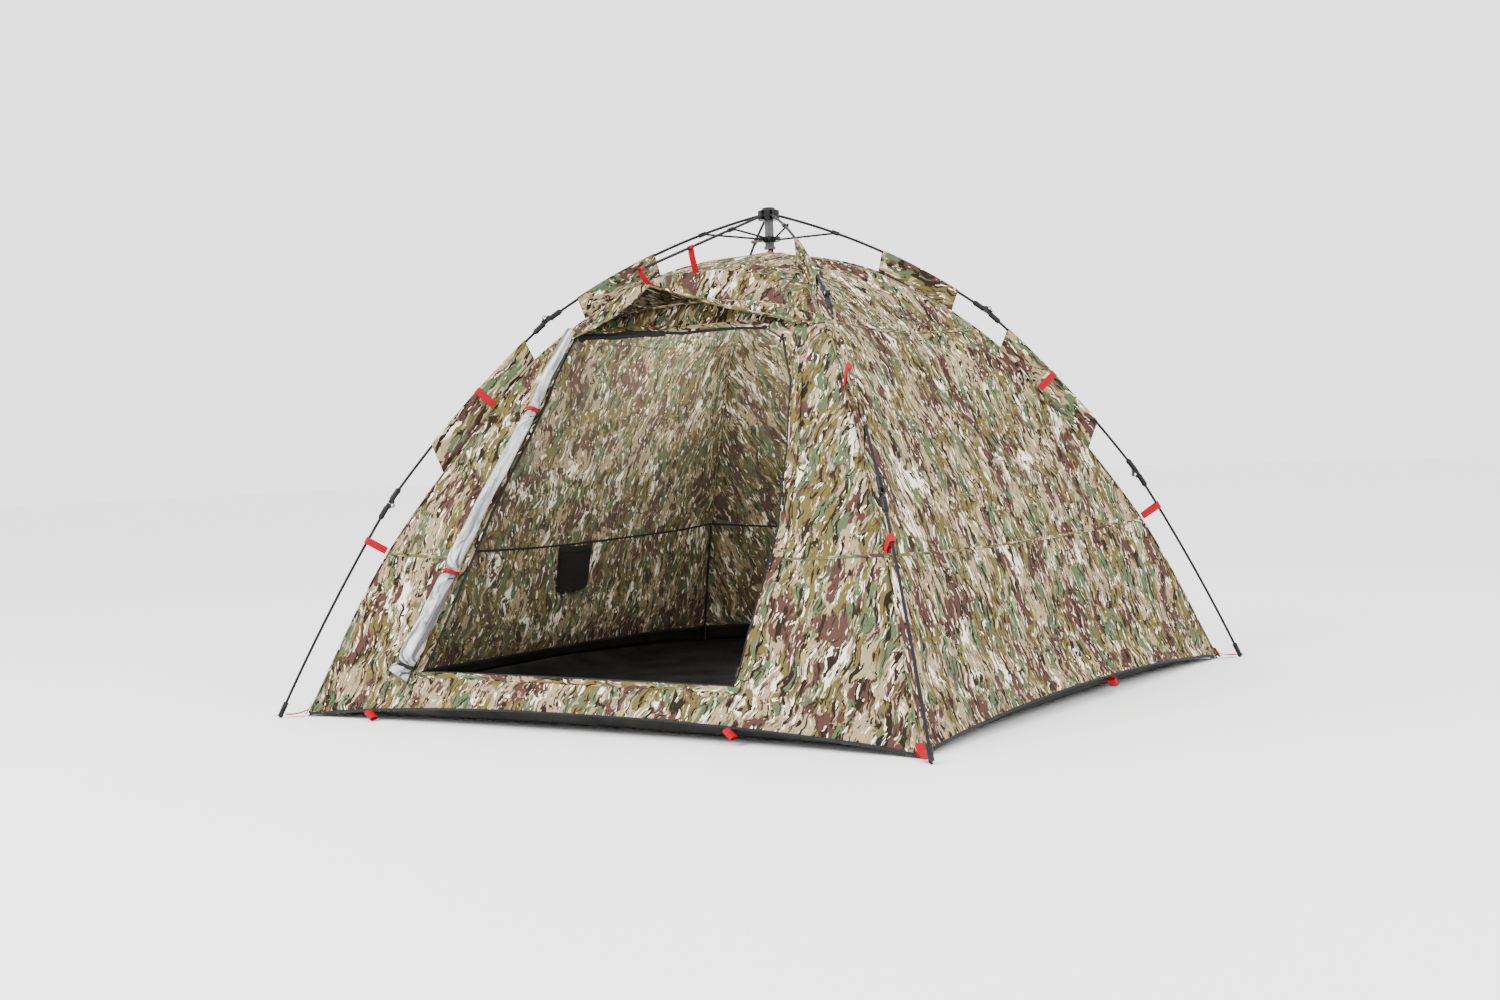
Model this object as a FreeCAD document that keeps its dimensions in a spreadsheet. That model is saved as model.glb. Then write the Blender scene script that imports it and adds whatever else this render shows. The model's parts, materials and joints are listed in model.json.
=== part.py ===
"""Pop-up ground blind: a square dome tent hung under an outside frame of folding fibreglass legs.

Origin at the centre of the footprint on the ground, +Z up, the door faces -Y. All sizes in mm.
Each leg is laid out in its own upright plane: reach is the distance from the centre line, height
is above the ground, and the leg is then turned about Z to its corner.
"""
import FreeCAD, Part
import math
import os

Vector = FreeCAD.Vector
Placement = FreeCAD.Placement
Rotation = FreeCAD.Rotation

doc = FreeCAD.newDocument("PopUpGroundBlind")
sheet = doc.addObject("Spreadsheet::Sheet", "Dimensions")

DIMENSIONS = [
    # the frame's joints, in a leg's plane
    ("hub_pin_reach", 28),
    ("hub_pin_height", 1622),
    ("elbow_one_reach", 775),
    ("elbow_one_height", 1277),
    ("elbow_two_reach", 1320),
    ("elbow_two_height", 688),
    ("foot_reach", 1697),
    ("foot_height", 9),
    ("upper_bow", 38),
    ("middle_bow", 20),
    ("lower_bow", 11),
    ("pole_diameter", 9),
    # elbows
    ("elbow_diameter", 18),
    ("elbow_gap", 14),
    ("elbow_sleeve_length", 40),
    ("elbow_pivot_offset", 13),
    ("knuckle_radius", 8),
    ("tongue_width", 7),
    ("fork_gap", 7.6),
    ("fork_width", 15.6),
    ("elbow_pin_diameter", 5),
    ("running_clearance", 0.05),
    # hub, shaft and runner
    ("hub_diameter", 74),
    ("hub_depth", 32),
    ("hub_slot_width", 10),
    ("hub_core_radius", 16),
    ("hub_pin_diameter", 4),
    ("hub_pin_length", 16),
    ("cap_base_radius", 30),
    ("cap_top_radius", 19),
    ("cap_depth", 9),
    ("shaft_diameter", 31),
    ("shaft_length", 100),
    ("shaft_stop_diameter", 40),
    ("shaft_stop_depth", 8),
    ("runner_drop", 82),
    ("runner_diameter", 76),
    ("runner_depth", 14),
    ("runner_pin_length", 12.4),
    ("pole_notch_reach", 24),
    ("pole_notch_width", 10.4),
    ("strut_pin_reach", 30),
    # struts and clips
    ("strut_diameter", 7),
    ("strut_side_offset", 11.5),
    ("strut_eye_radius", 5.5),
    ("strut_eye_width", 6),
    ("clip_reach", 234),
    ("clip_height", 1547),
    ("clip_diameter", 15),
    ("clip_length", 26),
    ("clip_boss_length", 7.7),
    # awning pole
    ("brow_tip_reach", 757),
    ("brow_tip_height", 1389),
    ("brow_clip_reach", 236),
    # feet
    ("foot_cap_diameter", 16),
    ("foot_cap_length", 45),
    ("ground_pin_diameter", 5),
    ("ground_pin_length", 22),
    # canopy: reach and height of the corner ridge at each fold of the wall
    ("fabric_thickness", 1.5),
    ("ridge_reach_0", 1610),
    ("ridge_height_0", 0),
    ("ridge_reach_1", 1330),
    ("ridge_height_1", 518),
    ("ridge_reach_2", 959),
    ("ridge_height_2", 991),
    ("ridge_reach_3", 730),
    ("ridge_height_3", 1217),
    ("ridge_reach_4", 369),
    ("ridge_height_4", 1425),
    ("ridge_reach_5", 0),
    ("ridge_height_5", 1482),
    ("door_sill", 142),
    ("door_top", 1185),
    ("brow_peak_forward", 692),
    ("brow_peak_height", 1343),
    ("brow_corner", 663),
    ("brow_corner_height", 1066),
    ("roll_foot_radius", 34),
    ("roll_head_radius", 15),
    ("webbing_width", 25),
    ("webbing_thickness", 2),
]
for row, (alias, size) in enumerate(DIMENSIONS, start=1):
    sheet.set(f"A{row}", alias)
    sheet.set(f"B{row}", str(size))
    sheet.setAlias(f"B{row}", alias)
doc.recompute()

LEGS = {"a": -135, "b": -45, "c": 45, "d": 135}
BROW_AZIMUTH = -90
nodes = []


def value(alias):
    """A driving dimension as a number."""
    return float(sheet.get(alias))


def cell(alias):
    """The same dimension as it is written in an expression."""
    return f"Dimensions.{alias}"


def keep(item, label):
    """Name a finished sub-part, which is what gets exported."""
    item.Label = label
    nodes.append(item)
    return item


def turned(azimuth):
    """Turn a leg's plane about the centre line to its corner."""
    return Placement(Vector(0, 0, 0), Rotation(Vector(0, 0, 1), azimuth))


def slope(start, end):
    """Angle below the horizontal, in degrees, from one (reach, height) point to another."""
    return math.degrees(math.atan2(start[1] - end[1], end[0] - start[0]))


def heading(angle):
    """Unit direction in a leg's plane at an angle below the horizontal."""
    turn = math.radians(angle)
    return Vector(math.cos(turn), 0, -math.sin(turn))


def outward(angle):
    """Unit normal on the outer side of a pole at an angle below the horizontal."""
    turn = math.radians(angle)
    return Vector(math.sin(turn), 0, math.cos(turn))


def at(point):
    """A (reach, height) point as a vector in the leg's plane."""
    return Vector(point[0], 0, point[1])


def along(origin, direction, side):
    """Placement with +Z along direction and +X along side."""
    return Placement(origin, Rotation(side, direction.cross(side), direction, "XYZ"))


def cylinder(radius, height, place):
    """Cylinder whose radius and height are expressions."""
    item = doc.addObject("Part::Cylinder", "Cylinder")
    item.setExpression("Radius", radius)
    item.setExpression("Height", height)
    item.Placement = place
    return item


def cross_cylinder(radius, width, place, centre_x, centre_z, start=None):
    """Cylinder across a leg's plane, at a point of the local frame, centred unless start is given."""
    first = -width / 2 if start is None else start
    item = doc.addObject("Part::Cylinder", "CrossCylinder")
    item.setExpression("Radius", radius)
    item.Height = width
    local = Placement(Vector(centre_x, first, centre_z), Rotation(Vector(1, 0, 0), -90))
    item.Placement = place.multiply(local)
    return item


def block(x_range, width, z_range, place):
    """Box centred across the leg's plane, in the local frame."""
    item = doc.addObject("Part::Box", "Block")
    item.Length = x_range[1] - x_range[0]
    item.Width = width
    item.Height = z_range[1] - z_range[0]
    local = Placement(Vector(x_range[0], -width / 2, z_range[0]), Rotation())
    item.Placement = place.multiply(local)
    return item


def fuse(items):
    item = doc.addObject("Part::MultiFuse", "Fusion")
    item.Shapes = items
    return item


def cut(base, tool):
    item = doc.addObject("Part::Cut", "Cut")
    item.Base = base
    item.Tool = tool
    return item


def feature(shape, label):
    item = doc.addObject("Part::Feature", "Shape")
    item.Shape = shape
    return keep(item, label)


# ---------------------------------------------------------------- leg geometry

HUB_PIN = (value("hub_pin_reach"), value("hub_pin_height"))
ELBOW_ONE = (value("elbow_one_reach"), value("elbow_one_height"))
ELBOW_TWO = (value("elbow_two_reach"), value("elbow_two_height"))
FOOT = (value("foot_reach"), value("foot_height"))
CLIP = (value("clip_reach"), value("clip_height"))


class Bow:
    """A pole that bends outward between two points: an arc of a circle."""

    def __init__(self, start, end, bow_alias):
        chord = at(end) - at(start)
        self.start, self.end = start, end
        self.sag = value(bow_alias)
        self.slope = slope(start, end)
        self.radius = chord.Length**2 / (8 * self.sag) + self.sag / 2
        self.half_turn = math.degrees(math.asin(chord.Length / 2 / self.radius))
        middle = (at(start) + at(end)) * 0.5
        self.centre = middle - outward(self.slope) * (self.radius - self.sag)
        self.start_slope = self.slope - self.half_turn
        self.end_slope = self.slope + self.half_turn

    def point(self, angle_slope, offset=0.0):
        """Point on the arc where its slope is angle_slope, offset outward."""
        return self.centre + outward(angle_slope) * (self.radius + offset)

    def slope_at_reach(self, reach):
        """Slope of the arc where it passes a given reach."""
        return math.degrees(math.asin((reach - self.centre.x) / self.radius))


UPPER = Bow(HUB_PIN, ELBOW_ONE, "upper_bow")
MIDDLE = Bow(ELBOW_ONE, ELBOW_TWO, "middle_bow")
LOWER = Bow(ELBOW_TWO, FOOT, "lower_bow")
POLE_END_GAP = value("elbow_gap") + 2
FOOT_END_GAP = 10.5


def pole(bow, label, azimuth, start_trim, end_trim):
    """Bent fibreglass pole: a stretch of a torus, from its start to its end."""
    arc = doc.addObject("Part::Torus", "Arc")
    arc.Radius1 = bow.radius
    arc.setExpression("Radius2", f"{cell('pole_diameter')} / 2")
    trim_end = math.degrees(end_trim / bow.radius)
    trim_start = math.degrees(start_trim / bow.radius)
    arc.Angle3 = 2 * bow.half_turn - trim_start - trim_end
    last_slope = bow.end_slope - trim_end
    first_axis = outward(last_slope)
    second_axis = heading(last_slope) * -1
    frame = Placement(bow.centre, Rotation(first_axis, second_axis, Vector(0, -1, 0), "XYZ"))
    arc.Placement = turned(azimuth).multiply(frame)
    return arc if label is None else keep(arc, label)


def elbow_pivot(point, before, after, side):
    """Hinge pin of an elbow: off the pole's axis, on the outer side (+1) or the inner side (-1)."""
    return at(point) + outward((before + after) / 2) * (side * value("elbow_pivot_offset"))


PIVOT_ONE = elbow_pivot(ELBOW_ONE, UPPER.end_slope, MIDDLE.start_slope, 1)
PIVOT_TWO = elbow_pivot(ELBOW_TWO, MIDDLE.end_slope, LOWER.start_slope, -1)


def elbow_half(label, azimuth, point, bow, pivot, side, is_fork):
    """One moulded half of an elbow, bored along its pole's bend. The fork is the end of the pole
    above, the tongue starts the pole below. Local frame: +Z away from the joint along the pole,
    +X towards the hinge pin."""
    pole_slope = bow.end_slope if is_fork else bow.start_slope
    direction = heading(pole_slope) * (-1 if is_fork else 1)
    across = outward(pole_slope) * side
    place = turned(azimuth).multiply(along(at(point), direction, across))
    offset = pivot - at(point)
    pin_x, pin_z = offset.dot(across), offset.dot(direction)
    gap = value("elbow_gap")
    width = value("fork_width") if is_fork else value("tongue_width")
    sleeve_place = place.multiply(Placement(Vector(0, 0, gap), Rotation()))
    sleeve = cylinder(f"{cell('elbow_diameter')} / 2", cell("elbow_sleeve_length"), sleeve_place)
    web = block((-6, pin_x), width, (pin_z, gap + 2), place)
    knuckle = cross_cylinder(cell("knuckle_radius"), width, place, pin_x, pin_z)
    body = fuse([sleeve, web, knuckle])
    body = cut(body, pole(bow, None, azimuth, POLE_END_GAP, POLE_END_GAP))
    if is_fork:
        slot = block((-12, 30), value("fork_gap"), (-20, gap - 0.3), place)
        pin = cross_cylinder(f"{cell('elbow_pin_diameter')} / 2", width, place, pin_x, pin_z)
        return keep(fuse([cut(body, slot), pin]), label)
    pin_bore = f"{cell('elbow_pin_diameter')} / 2 + {cell('running_clearance')}"
    return keep(cut(body, cross_cylinder(pin_bore, 2 * width, place, pin_x, pin_z)), label)


def foot_cap(label, azimuth):
    """Rubber-like end cap with a ball end and a steel pin for the tent's corner ring."""
    direction = heading(LOWER.end_slope) * -1
    across = outward(LOWER.end_slope)
    place = turned(azimuth).multiply(along(at(FOOT), direction, across))
    sleeve = cylinder(f"{cell('foot_cap_diameter')} / 2", cell("foot_cap_length"), place)
    ball = doc.addObject("Part::Sphere", "Ball")
    ball.setExpression("Radius", cell("foot_height"))
    ball.Placement = place
    bore = pole(LOWER, None, azimuth, POLE_END_GAP, FOOT_END_GAP)
    pin_place = turned(azimuth).multiply(along(at(FOOT), Vector(1, 0, 0), Vector(0, 0, 1)))
    pin = cylinder(f"{cell('ground_pin_diameter')} / 2", cell("ground_pin_length"), pin_place)
    return keep(cut(fuse([sleeve, ball, pin]), bore), label)


def clip(label, azimuth, point, pole_slope):
    """Moulded clip round a pole, with a boss that faces the strut's eye."""
    half = value("clip_length") / 2
    place = turned(azimuth).multiply(along(at(point), heading(pole_slope), outward(pole_slope)))
    low = place.multiply(Placement(Vector(0, 0, -half), Rotation()))
    sleeve = cylinder(f"{cell('clip_diameter')} / 2", cell("clip_length"), low)
    boss = cross_cylinder(cell("strut_eye_radius"), value("clip_boss_length"), place, 0, 0, 0)
    bore = cylinder(f"{cell('pole_diameter')} / 2", cell("clip_length"), low)
    return keep(cut(fuse([sleeve, boss]), bore), label)


def strut(label, azimuth, end_point):
    """Straight stay beside the leg's plane, with a flat eye at each end."""
    start = (value("strut_pin_reach"), value("hub_pin_height") - value("runner_drop"))
    angle = slope(start, end_point)
    length = (at(end_point) - at(start)).Length
    aside = Vector(0, value("strut_side_offset"), 0)
    place = turned(azimuth).multiply(along(at(start) + aside, heading(angle), outward(angle)))
    rod = cylinder(f"{cell('strut_diameter')} / 2", str(length), place)
    width = value("strut_eye_width")
    eyes = [cross_cylinder(cell("strut_eye_radius"), width, place, 0, z) for z in (0, length)]
    pin_bore = f"{cell('hub_pin_diameter')} / 2 + {cell('running_clearance')}"
    bore = cross_cylinder(pin_bore, 3 * width, place, 0, 0)
    return keep(cut(fuse([rod, *eyes]), bore), label)


def upper_end_bored(arc, azimuth, label):
    """The pole's hub end, with the hole for its hinge pin."""
    pin_bore = f"{cell('hub_pin_diameter')} / 2 + {cell('running_clearance')}"
    hole = cross_cylinder(pin_bore, 2 * value("pole_diameter"), turned(azimuth), *HUB_PIN)
    return keep(cut(arc, hole), label)


HUB_END_OVERHANG = 6.5
for leg, azimuth in LEGS.items():
    arc = pole(UPPER, None, azimuth, -HUB_END_OVERHANG, POLE_END_GAP)
    upper_end_bored(arc, azimuth, f"upper_pole_{leg}")
    clip_slope = UPPER.slope_at_reach(CLIP[0])
    clip_point = UPPER.point(clip_slope)
    clip(f"pole_clip_{leg}", azimuth, (clip_point.x, clip_point.z), clip_slope)
    strut(f"strut_{leg}", azimuth, (clip_point.x, clip_point.z))
    elbow_half(f"upper_elbow_fork_{leg}", azimuth, ELBOW_ONE, UPPER, PIVOT_ONE, 1, True)
    elbow_half(f"upper_elbow_tongue_{leg}", azimuth, ELBOW_ONE, MIDDLE, PIVOT_ONE, 1, False)
    pole(MIDDLE, f"middle_pole_{leg}", azimuth, POLE_END_GAP, POLE_END_GAP)
    elbow_half(f"lower_elbow_fork_{leg}", azimuth, ELBOW_TWO, MIDDLE, PIVOT_TWO, -1, True)
    elbow_half(f"lower_elbow_tongue_{leg}", azimuth, ELBOW_TWO, LOWER, PIVOT_TWO, -1, False)
    pole(LOWER, f"lower_pole_{leg}", azimuth, POLE_END_GAP, FOOT_END_GAP)
    foot_cap(f"foot_cap_{leg}", azimuth)

# ---------------------------------------------------------------- awning pole

BROW_TIP = (value("brow_tip_reach"), value("brow_tip_height"))
BROW_SLOPE = slope(HUB_PIN, BROW_TIP)
brow_length = (at(BROW_TIP) - at(HUB_PIN)).Length
brow_start = at(HUB_PIN) - heading(BROW_SLOPE) * HUB_END_OVERHANG
brow_place = turned(BROW_AZIMUTH).multiply(along(brow_start, heading(BROW_SLOPE), outward(BROW_SLOPE)))
brow_rod = cylinder(f"{cell('pole_diameter')} / 2", str(brow_length + HUB_END_OVERHANG), brow_place)
upper_end_bored(brow_rod, BROW_AZIMUTH, "brow_pole")
brow_clip_fall = (value("brow_clip_reach") - HUB_PIN[0]) * math.tan(math.radians(BROW_SLOPE))
BROW_CLIP = (value("brow_clip_reach"), HUB_PIN[1] - brow_clip_fall)
clip("brow_pole_clip", BROW_AZIMUTH, BROW_CLIP, BROW_SLOPE)
strut("brow_strut", BROW_AZIMUTH, BROW_CLIP)

# ---------------------------------------------------------------- hub, shaft and runner

AZIMUTHS = [*LEGS.values(), BROW_AZIMUTH]
HUB_BOTTOM = HUB_PIN[1] - value("hub_depth") / 2
RUNNER_HEIGHT = HUB_PIN[1] - value("runner_drop")


def upright(radius, height, bottom):
    """Cylinder on the centre line, from a height up."""
    return cylinder(radius, height, Placement(Vector(0, 0, bottom), Rotation()))


def slotted(disc, core_radius, side_offset, slot_width, bottom, depth, pins):
    """Cut a slot for each arm in a disc, and the holes of its pins."""
    tools = []
    for azimuth in AZIMUTHS:
        slot = doc.addObject("Part::Box", "Slot")
        slot.Length = 60
        slot.Width = slot_width
        slot.Height = depth + 4
        corner = Vector(core_radius, side_offset - slot_width / 2, bottom - 2)
        slot.Placement = turned(azimuth).multiply(Placement(corner, Rotation()))
        tools.append(slot)
    return cut(disc, fuse(tools + pins))


def pins_at(reach, height, side_offset, length):
    """One hinge pin for each arm, across its plane."""
    half = length / 2
    radius = f"{cell('hub_pin_diameter')} / 2"
    return [
        cross_cylinder(radius, length, turned(azimuth), reach, height, side_offset - half)
        for azimuth in AZIMUTHS
    ]


def pin_group(reach, height, side_offset, length, label):
    group = doc.addObject("Part::Compound", "Pins")
    group.Links = pins_at(reach, height, side_offset, length)
    return keep(group, label)


hub_disc = upright(f"{cell('hub_diameter')} / 2", cell("hub_depth"), HUB_BOTTOM)
keep(
    slotted(
        hub_disc,
        value("hub_core_radius"),
        0,
        value("hub_slot_width"),
        HUB_BOTTOM,
        value("hub_depth"),
        pins_at(HUB_PIN[0], HUB_PIN[1], 0, value("hub_pin_length")),
    ),
    "hub_body",
)
pin_group(HUB_PIN[0], HUB_PIN[1], 0, value("hub_pin_length"), "hub_pins")
cap = doc.addObject("Part::Cone", "Cap")
cap.setExpression("Radius1", cell("cap_base_radius"))
cap.setExpression("Radius2", cell("cap_top_radius"))
cap.setExpression("Height", cell("cap_depth"))
cap.Placement = Placement(Vector(0, 0, HUB_BOTTOM + value("hub_depth")), Rotation())
keep(cap, "hub_cap")
shaft_bottom = HUB_BOTTOM - value("shaft_length")
stem = upright(f"{cell('shaft_diameter')} / 2", cell("shaft_length"), shaft_bottom)
stop = upright(f"{cell('shaft_stop_diameter')} / 2", cell("shaft_stop_depth"), shaft_bottom)
keep(fuse([stem, stop]), "hub_shaft")

runner_bottom = RUNNER_HEIGHT - value("runner_depth") / 2
runner_disc = upright(f"{cell('runner_diameter')} / 2", cell("runner_depth"), runner_bottom)
runner_bore = upright(
    f"{cell('shaft_diameter')} / 2 + {cell('running_clearance')}", cell("runner_depth"), runner_bottom
)
strut_slot = value("strut_diameter") + 0.8
strut_pins = (value("strut_pin_reach"), RUNNER_HEIGHT, value("strut_side_offset"))
runner_pin_length = value("runner_pin_length")
notched = slotted(
    cut(runner_disc, runner_bore),
    value("pole_notch_reach"),
    0,
    value("pole_notch_width"),
    runner_bottom,
    value("runner_depth"),
    [],
)
runner = slotted(
    notched,
    value("strut_pin_reach") - 8,
    value("strut_side_offset"),
    strut_slot,
    runner_bottom,
    value("runner_depth"),
    pins_at(*strut_pins, runner_pin_length),
)
keep(runner, "runner")
pin_group(*strut_pins, runner_pin_length, "runner_pins")

# ---------------------------------------------------------------- canopy

RIDGE = [(value(f"ridge_reach_{i}"), value(f"ridge_height_{i}")) for i in range(6)]
HALF_WIDTHS = [reach / math.sqrt(2) for reach, _ in RIDGE]
THICKNESS = value("fabric_thickness")
INSIDE = Vector(0, 0, 500)
SEAM_GAP = 0.3


def plate(points, thickness=THICKNESS):
    """Flat panel through the points, thickened towards the inside of the tent."""
    face = Part.Face(Part.makePolygon([*points, points[0]]))
    normal = face.normalAt(0, 0)
    if normal.dot(INSIDE - points[0]) < 0:
        normal = normal * -1
    return face.extrude(normal * thickness)


def front_plates(first, last):
    """Panels of the front side between two folds of the ridge."""
    plates = []
    for i in range(first, last):
        wide, narrow = HALF_WIDTHS[i], HALF_WIDTHS[i + 1]
        low, high = RIDGE[i][1], RIDGE[i + 1][1]
        corners = [Vector(-wide, -wide, low), Vector(wide, -wide, low)]
        corners.append(Vector(narrow, -narrow, high))
        if narrow:
            corners.append(Vector(-narrow, -narrow, high))
        plates.append(plate(corners))
    return plates[0].multiFuse(plates[1:])


def sector(gap, low, high):
    """The front quarter of the space between two heights, short of the diagonals by a gap."""
    span = 1300
    corners = [Vector(0, -gap, low), Vector(-span, -span - gap, low), Vector(span, -span - gap, low)]
    face = Part.Face(Part.makePolygon([*corners, corners[0]]))
    return face.extrude(Vector(0, 0, high - low))


def door_opening():
    """Big D-shaped doorway: straight sill, leaning left edge, bulging right edge."""
    sill, top = value("door_sill"), value("door_top")
    foot_left, foot_right = Vector(-700, -1400, sill), Vector(505, -1400, sill)
    bulge = Vector(545, -1400, 640)
    head_right, head_left = Vector(385, -1400, top - 25), Vector(-330, -1400, top)
    left_middle = Vector(-550, -1400, 610)
    edges = [
        Part.makeLine(foot_left, foot_right),
        Part.Arc(foot_right, bulge, head_right).toShape(),
        Part.makeLine(head_right, head_left),
        Part.Arc(head_left, left_middle, foot_left).toShape(),
    ]
    return Part.Face(Part.Wire(edges)).extrude(Vector(0, 1000, 0))


WALL_TOP = RIDGE[3][1]
wall = front_plates(0, 3).common(sector(SEAM_GAP, 0, WALL_TOP))
feature(wall.cut(door_opening()), "wall_front")
for name, angle in (("wall_right", 90), ("wall_back", 180), ("wall_left", -90)):
    side = wall.copy()
    side.rotate(Vector(0, 0, 0), Vector(0, 0, 1), angle)
    feature(side, name)

roof_quarter = front_plates(3, 5).common(sector(0, WALL_TOP + SEAM_GAP, 1600))
roof_quarters = []
for quarter in range(4):
    piece = roof_quarter.copy()
    piece.rotate(Vector(0, 0, 0), Vector(0, 0, 1), 90 * quarter)
    roof_quarters.append(piece)
feature(roof_quarters[0].multiFuse(roof_quarters[1:]).removeSplitter(), "roof")

floor = doc.addObject("Part::Box", "Floor")
floor_half = HALF_WIDTHS[0] - 5
floor.Length = 2 * floor_half
floor.Width = 2 * floor_half
floor.Height = 2
floor.Placement = Placement(Vector(-floor_half, -floor_half, 0), Rotation())
keep(floor, "ground_floor")


def brow_panels():
    """Awning over the door: three flat panels from the front edge of the roof to a peak."""
    peak = Vector(0, -value("brow_peak_forward"), value("brow_peak_height"))
    corner, corner_height = value("brow_corner"), value("brow_corner_height")
    roof_corner = HALF_WIDTHS[3]
    lift = Vector(0, -3, 1)
    left_low = Vector(-corner, -corner, corner_height) + lift
    right_low = Vector(corner, -corner, corner_height) + lift
    left_high = Vector(-roof_corner, -roof_corner, WALL_TOP) + lift
    right_high = Vector(roof_corner, -roof_corner, WALL_TOP) + lift
    panels = [
        plate([peak, left_low, left_high]),
        plate([peak, left_high, right_high]),
        plate([peak, right_high, right_low]),
    ]
    return panels[0].multiFuse(panels[1:])


feature(brow_panels(), "brow_awning")


def on_front(x, height, stand_off):
    """Point on the front wall at a height, standing off outward."""
    for (low, high), (wide, narrow) in zip(
        zip(RIDGE, RIDGE[1:]), zip(HALF_WIDTHS, HALF_WIDTHS[1:])
    ):
        if height <= high[1]:
            share = (height - low[1]) / (high[1] - low[1])
            lean = math.atan2(wide - narrow, high[1] - low[1])
            depth = wide + share * (narrow - wide) + stand_off * math.cos(lean)
            return Vector(x, -depth, height + stand_off * math.sin(lean))


def door_roll():
    """The rolled-up door flap, tied along the left edge of the doorway, thinner towards the top."""
    stations = [(-742, 168), (-622, RIDGE[1][1]), (-502, RIDGE[2][1]), (-466, 1130)]
    foot_radius, head_radius = value("roll_foot_radius"), value("roll_head_radius")
    radii = [
        foot_radius + (head_radius - foot_radius) * i / (len(stations) - 1)
        for i in range(len(stations))
    ]
    centres = [on_front(x, z, radius + 6) for (x, z), radius in zip(stations, radii)]
    shapes = []
    for i in range(len(stations) - 1):
        axis = centres[i + 1] - centres[i]
        shapes.append(Part.makeCone(radii[i], radii[i + 1], axis.Length, centres[i], axis))
    for centre, radius in zip(centres[1:-1], radii[1:-1]):
        shapes.append(Part.makeSphere(radius, centre))
    return shapes[0].multiFuse(shapes[1:])


feature(door_roll(), "door_roll")

# ---------------------------------------------------------------- sleeves, webbing and pocket

CLEAR_OF_POLE = value("pole_diameter") / 2 + 1


def ridge_height(reach):
    """Height of the canopy's corner ridge at a reach."""
    for (far, low), (near, high) in zip(RIDGE, RIDGE[1:]):
        if near <= reach <= far:
            return low + (far - reach) / (far - near) * (high - low)


def sleeve_plate(bow, start_reach, end_reach):
    """Upright strip of cloth from just under a pole down to the canopy's ridge."""
    count = 5
    reaches = [start_reach + (end_reach - start_reach) * i / (count - 1) for i in range(count)]
    upper = [bow.point(bow.slope_at_reach(reach), -CLEAR_OF_POLE) for reach in reaches]
    lower = [Vector(point.x, 0, ridge_height(point.x) + 3) for point in reversed(upper)]
    outline = [*upper, *lower]
    face = Part.Face(Part.makePolygon([*outline, outline[0]]))
    strip = face.extrude(Vector(0, THICKNESS, 0))
    strip.translate(Vector(0, -THICKNESS / 2, 0))
    return strip


def webbing(start, end, side):
    """Flat strap between two points, its width along side."""
    direction = end - start
    length = direction.Length
    width, thickness = value("webbing_width"), value("webbing_thickness")
    strap = Part.makeBox(width, thickness, length, Vector(-width / 2, -thickness / 2, 0))
    direction.normalize()
    strap.Placement = Placement(start, Rotation(side, direction.cross(side), direction, "XYZ"))
    return strap


def pole_strap(bow, reach):
    """Strap from a pole straight in to the canopy's ridge, its width along the pole."""
    pole_slope = bow.slope_at_reach(reach)
    start = bow.point(pole_slope, -CLEAR_OF_POLE)
    end = bow.point(pole_slope, -66)
    return webbing(start, end, heading(pole_slope))


def corner_strap():
    """Strap from the canopy's bottom corner out to the foot."""
    start = Vector(RIDGE[0][0] + 6, 0, 8)
    end = Vector(FOOT[0] - 16, 0, 10)
    return webbing(start, end, Vector(0, 1, 0))


def around(shape):
    """The same shape at each of the four legs."""
    copies = []
    for azimuth in LEGS.values():
        copy = shape.copy()
        copy.Placement = turned(azimuth).multiply(copy.Placement)
        copies.append(copy)
    return copies


SLEEVE_SPANS = [(UPPER, 401, 668), (MIDDLE, 850, 948), (MIDDLE, 1041, 1172)]
sleeves = [strip for span in SLEEVE_SPANS for strip in around(sleeve_plate(*span))]
feature(Part.makeCompound(sleeves), "pole_sleeves")

brow_hang = at(BROW_TIP) - heading(BROW_SLOPE) * 4
hangers = [
    webbing(brow_hang - outward(BROW_SLOPE) * CLEAR_OF_POLE, Vector(716, 0, 1352), Vector(0, 1, 0)),
    webbing(Vector(474, 0, 1474), Vector(446, 0, 1420), Vector(0, 1, 0)),
]
for hanger in hangers:
    hanger.Placement = turned(BROW_AZIMUTH).multiply(hanger.Placement)
straps = [*around(pole_strap(MIDDLE, 1013)), *around(pole_strap(LOWER, 1395))]
feature(Part.makeCompound([*straps, *around(corner_strap()), *hangers]), "webbing_straps")

POCKET_WIDTH, POCKET_DEPTH = 195, 190
pocket_top = RIDGE[1][1] - 12
pocket_lean = math.atan2(HALF_WIDTHS[0] - HALF_WIDTHS[1], RIDGE[1][1])
pocket = Part.makeBox(4, POCKET_WIDTH, POCKET_DEPTH, Vector(0, -POCKET_WIDTH / 2, -POCKET_DEPTH))
pocket_hang = Vector(-HALF_WIDTHS[1] + 2, 5, pocket_top)
pocket.Placement = Placement(pocket_hang, Rotation(Vector(0, 1, 0), math.degrees(pocket_lean)))
feature(pocket, "mesh_pocket")

# ---------------------------------------------------------------- checks and export

doc.recompute()
for item in doc.Objects:
    failed = {"Invalid", "Error"} & set(item.State)
    if failed:
        raise RuntimeError(f"{item.Label} did not compute: {item.State}")
for item in nodes:
    if item.Shape.isNull() or not item.Shape.isValid():
        raise RuntimeError(f"{item.Label} has no valid shape")
os.makedirs("parts", exist_ok=True)
for item in nodes:
    item.Shape.exportStep(f"parts/{item.Label}.step")
print(f"{len(nodes)} nodes")
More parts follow.
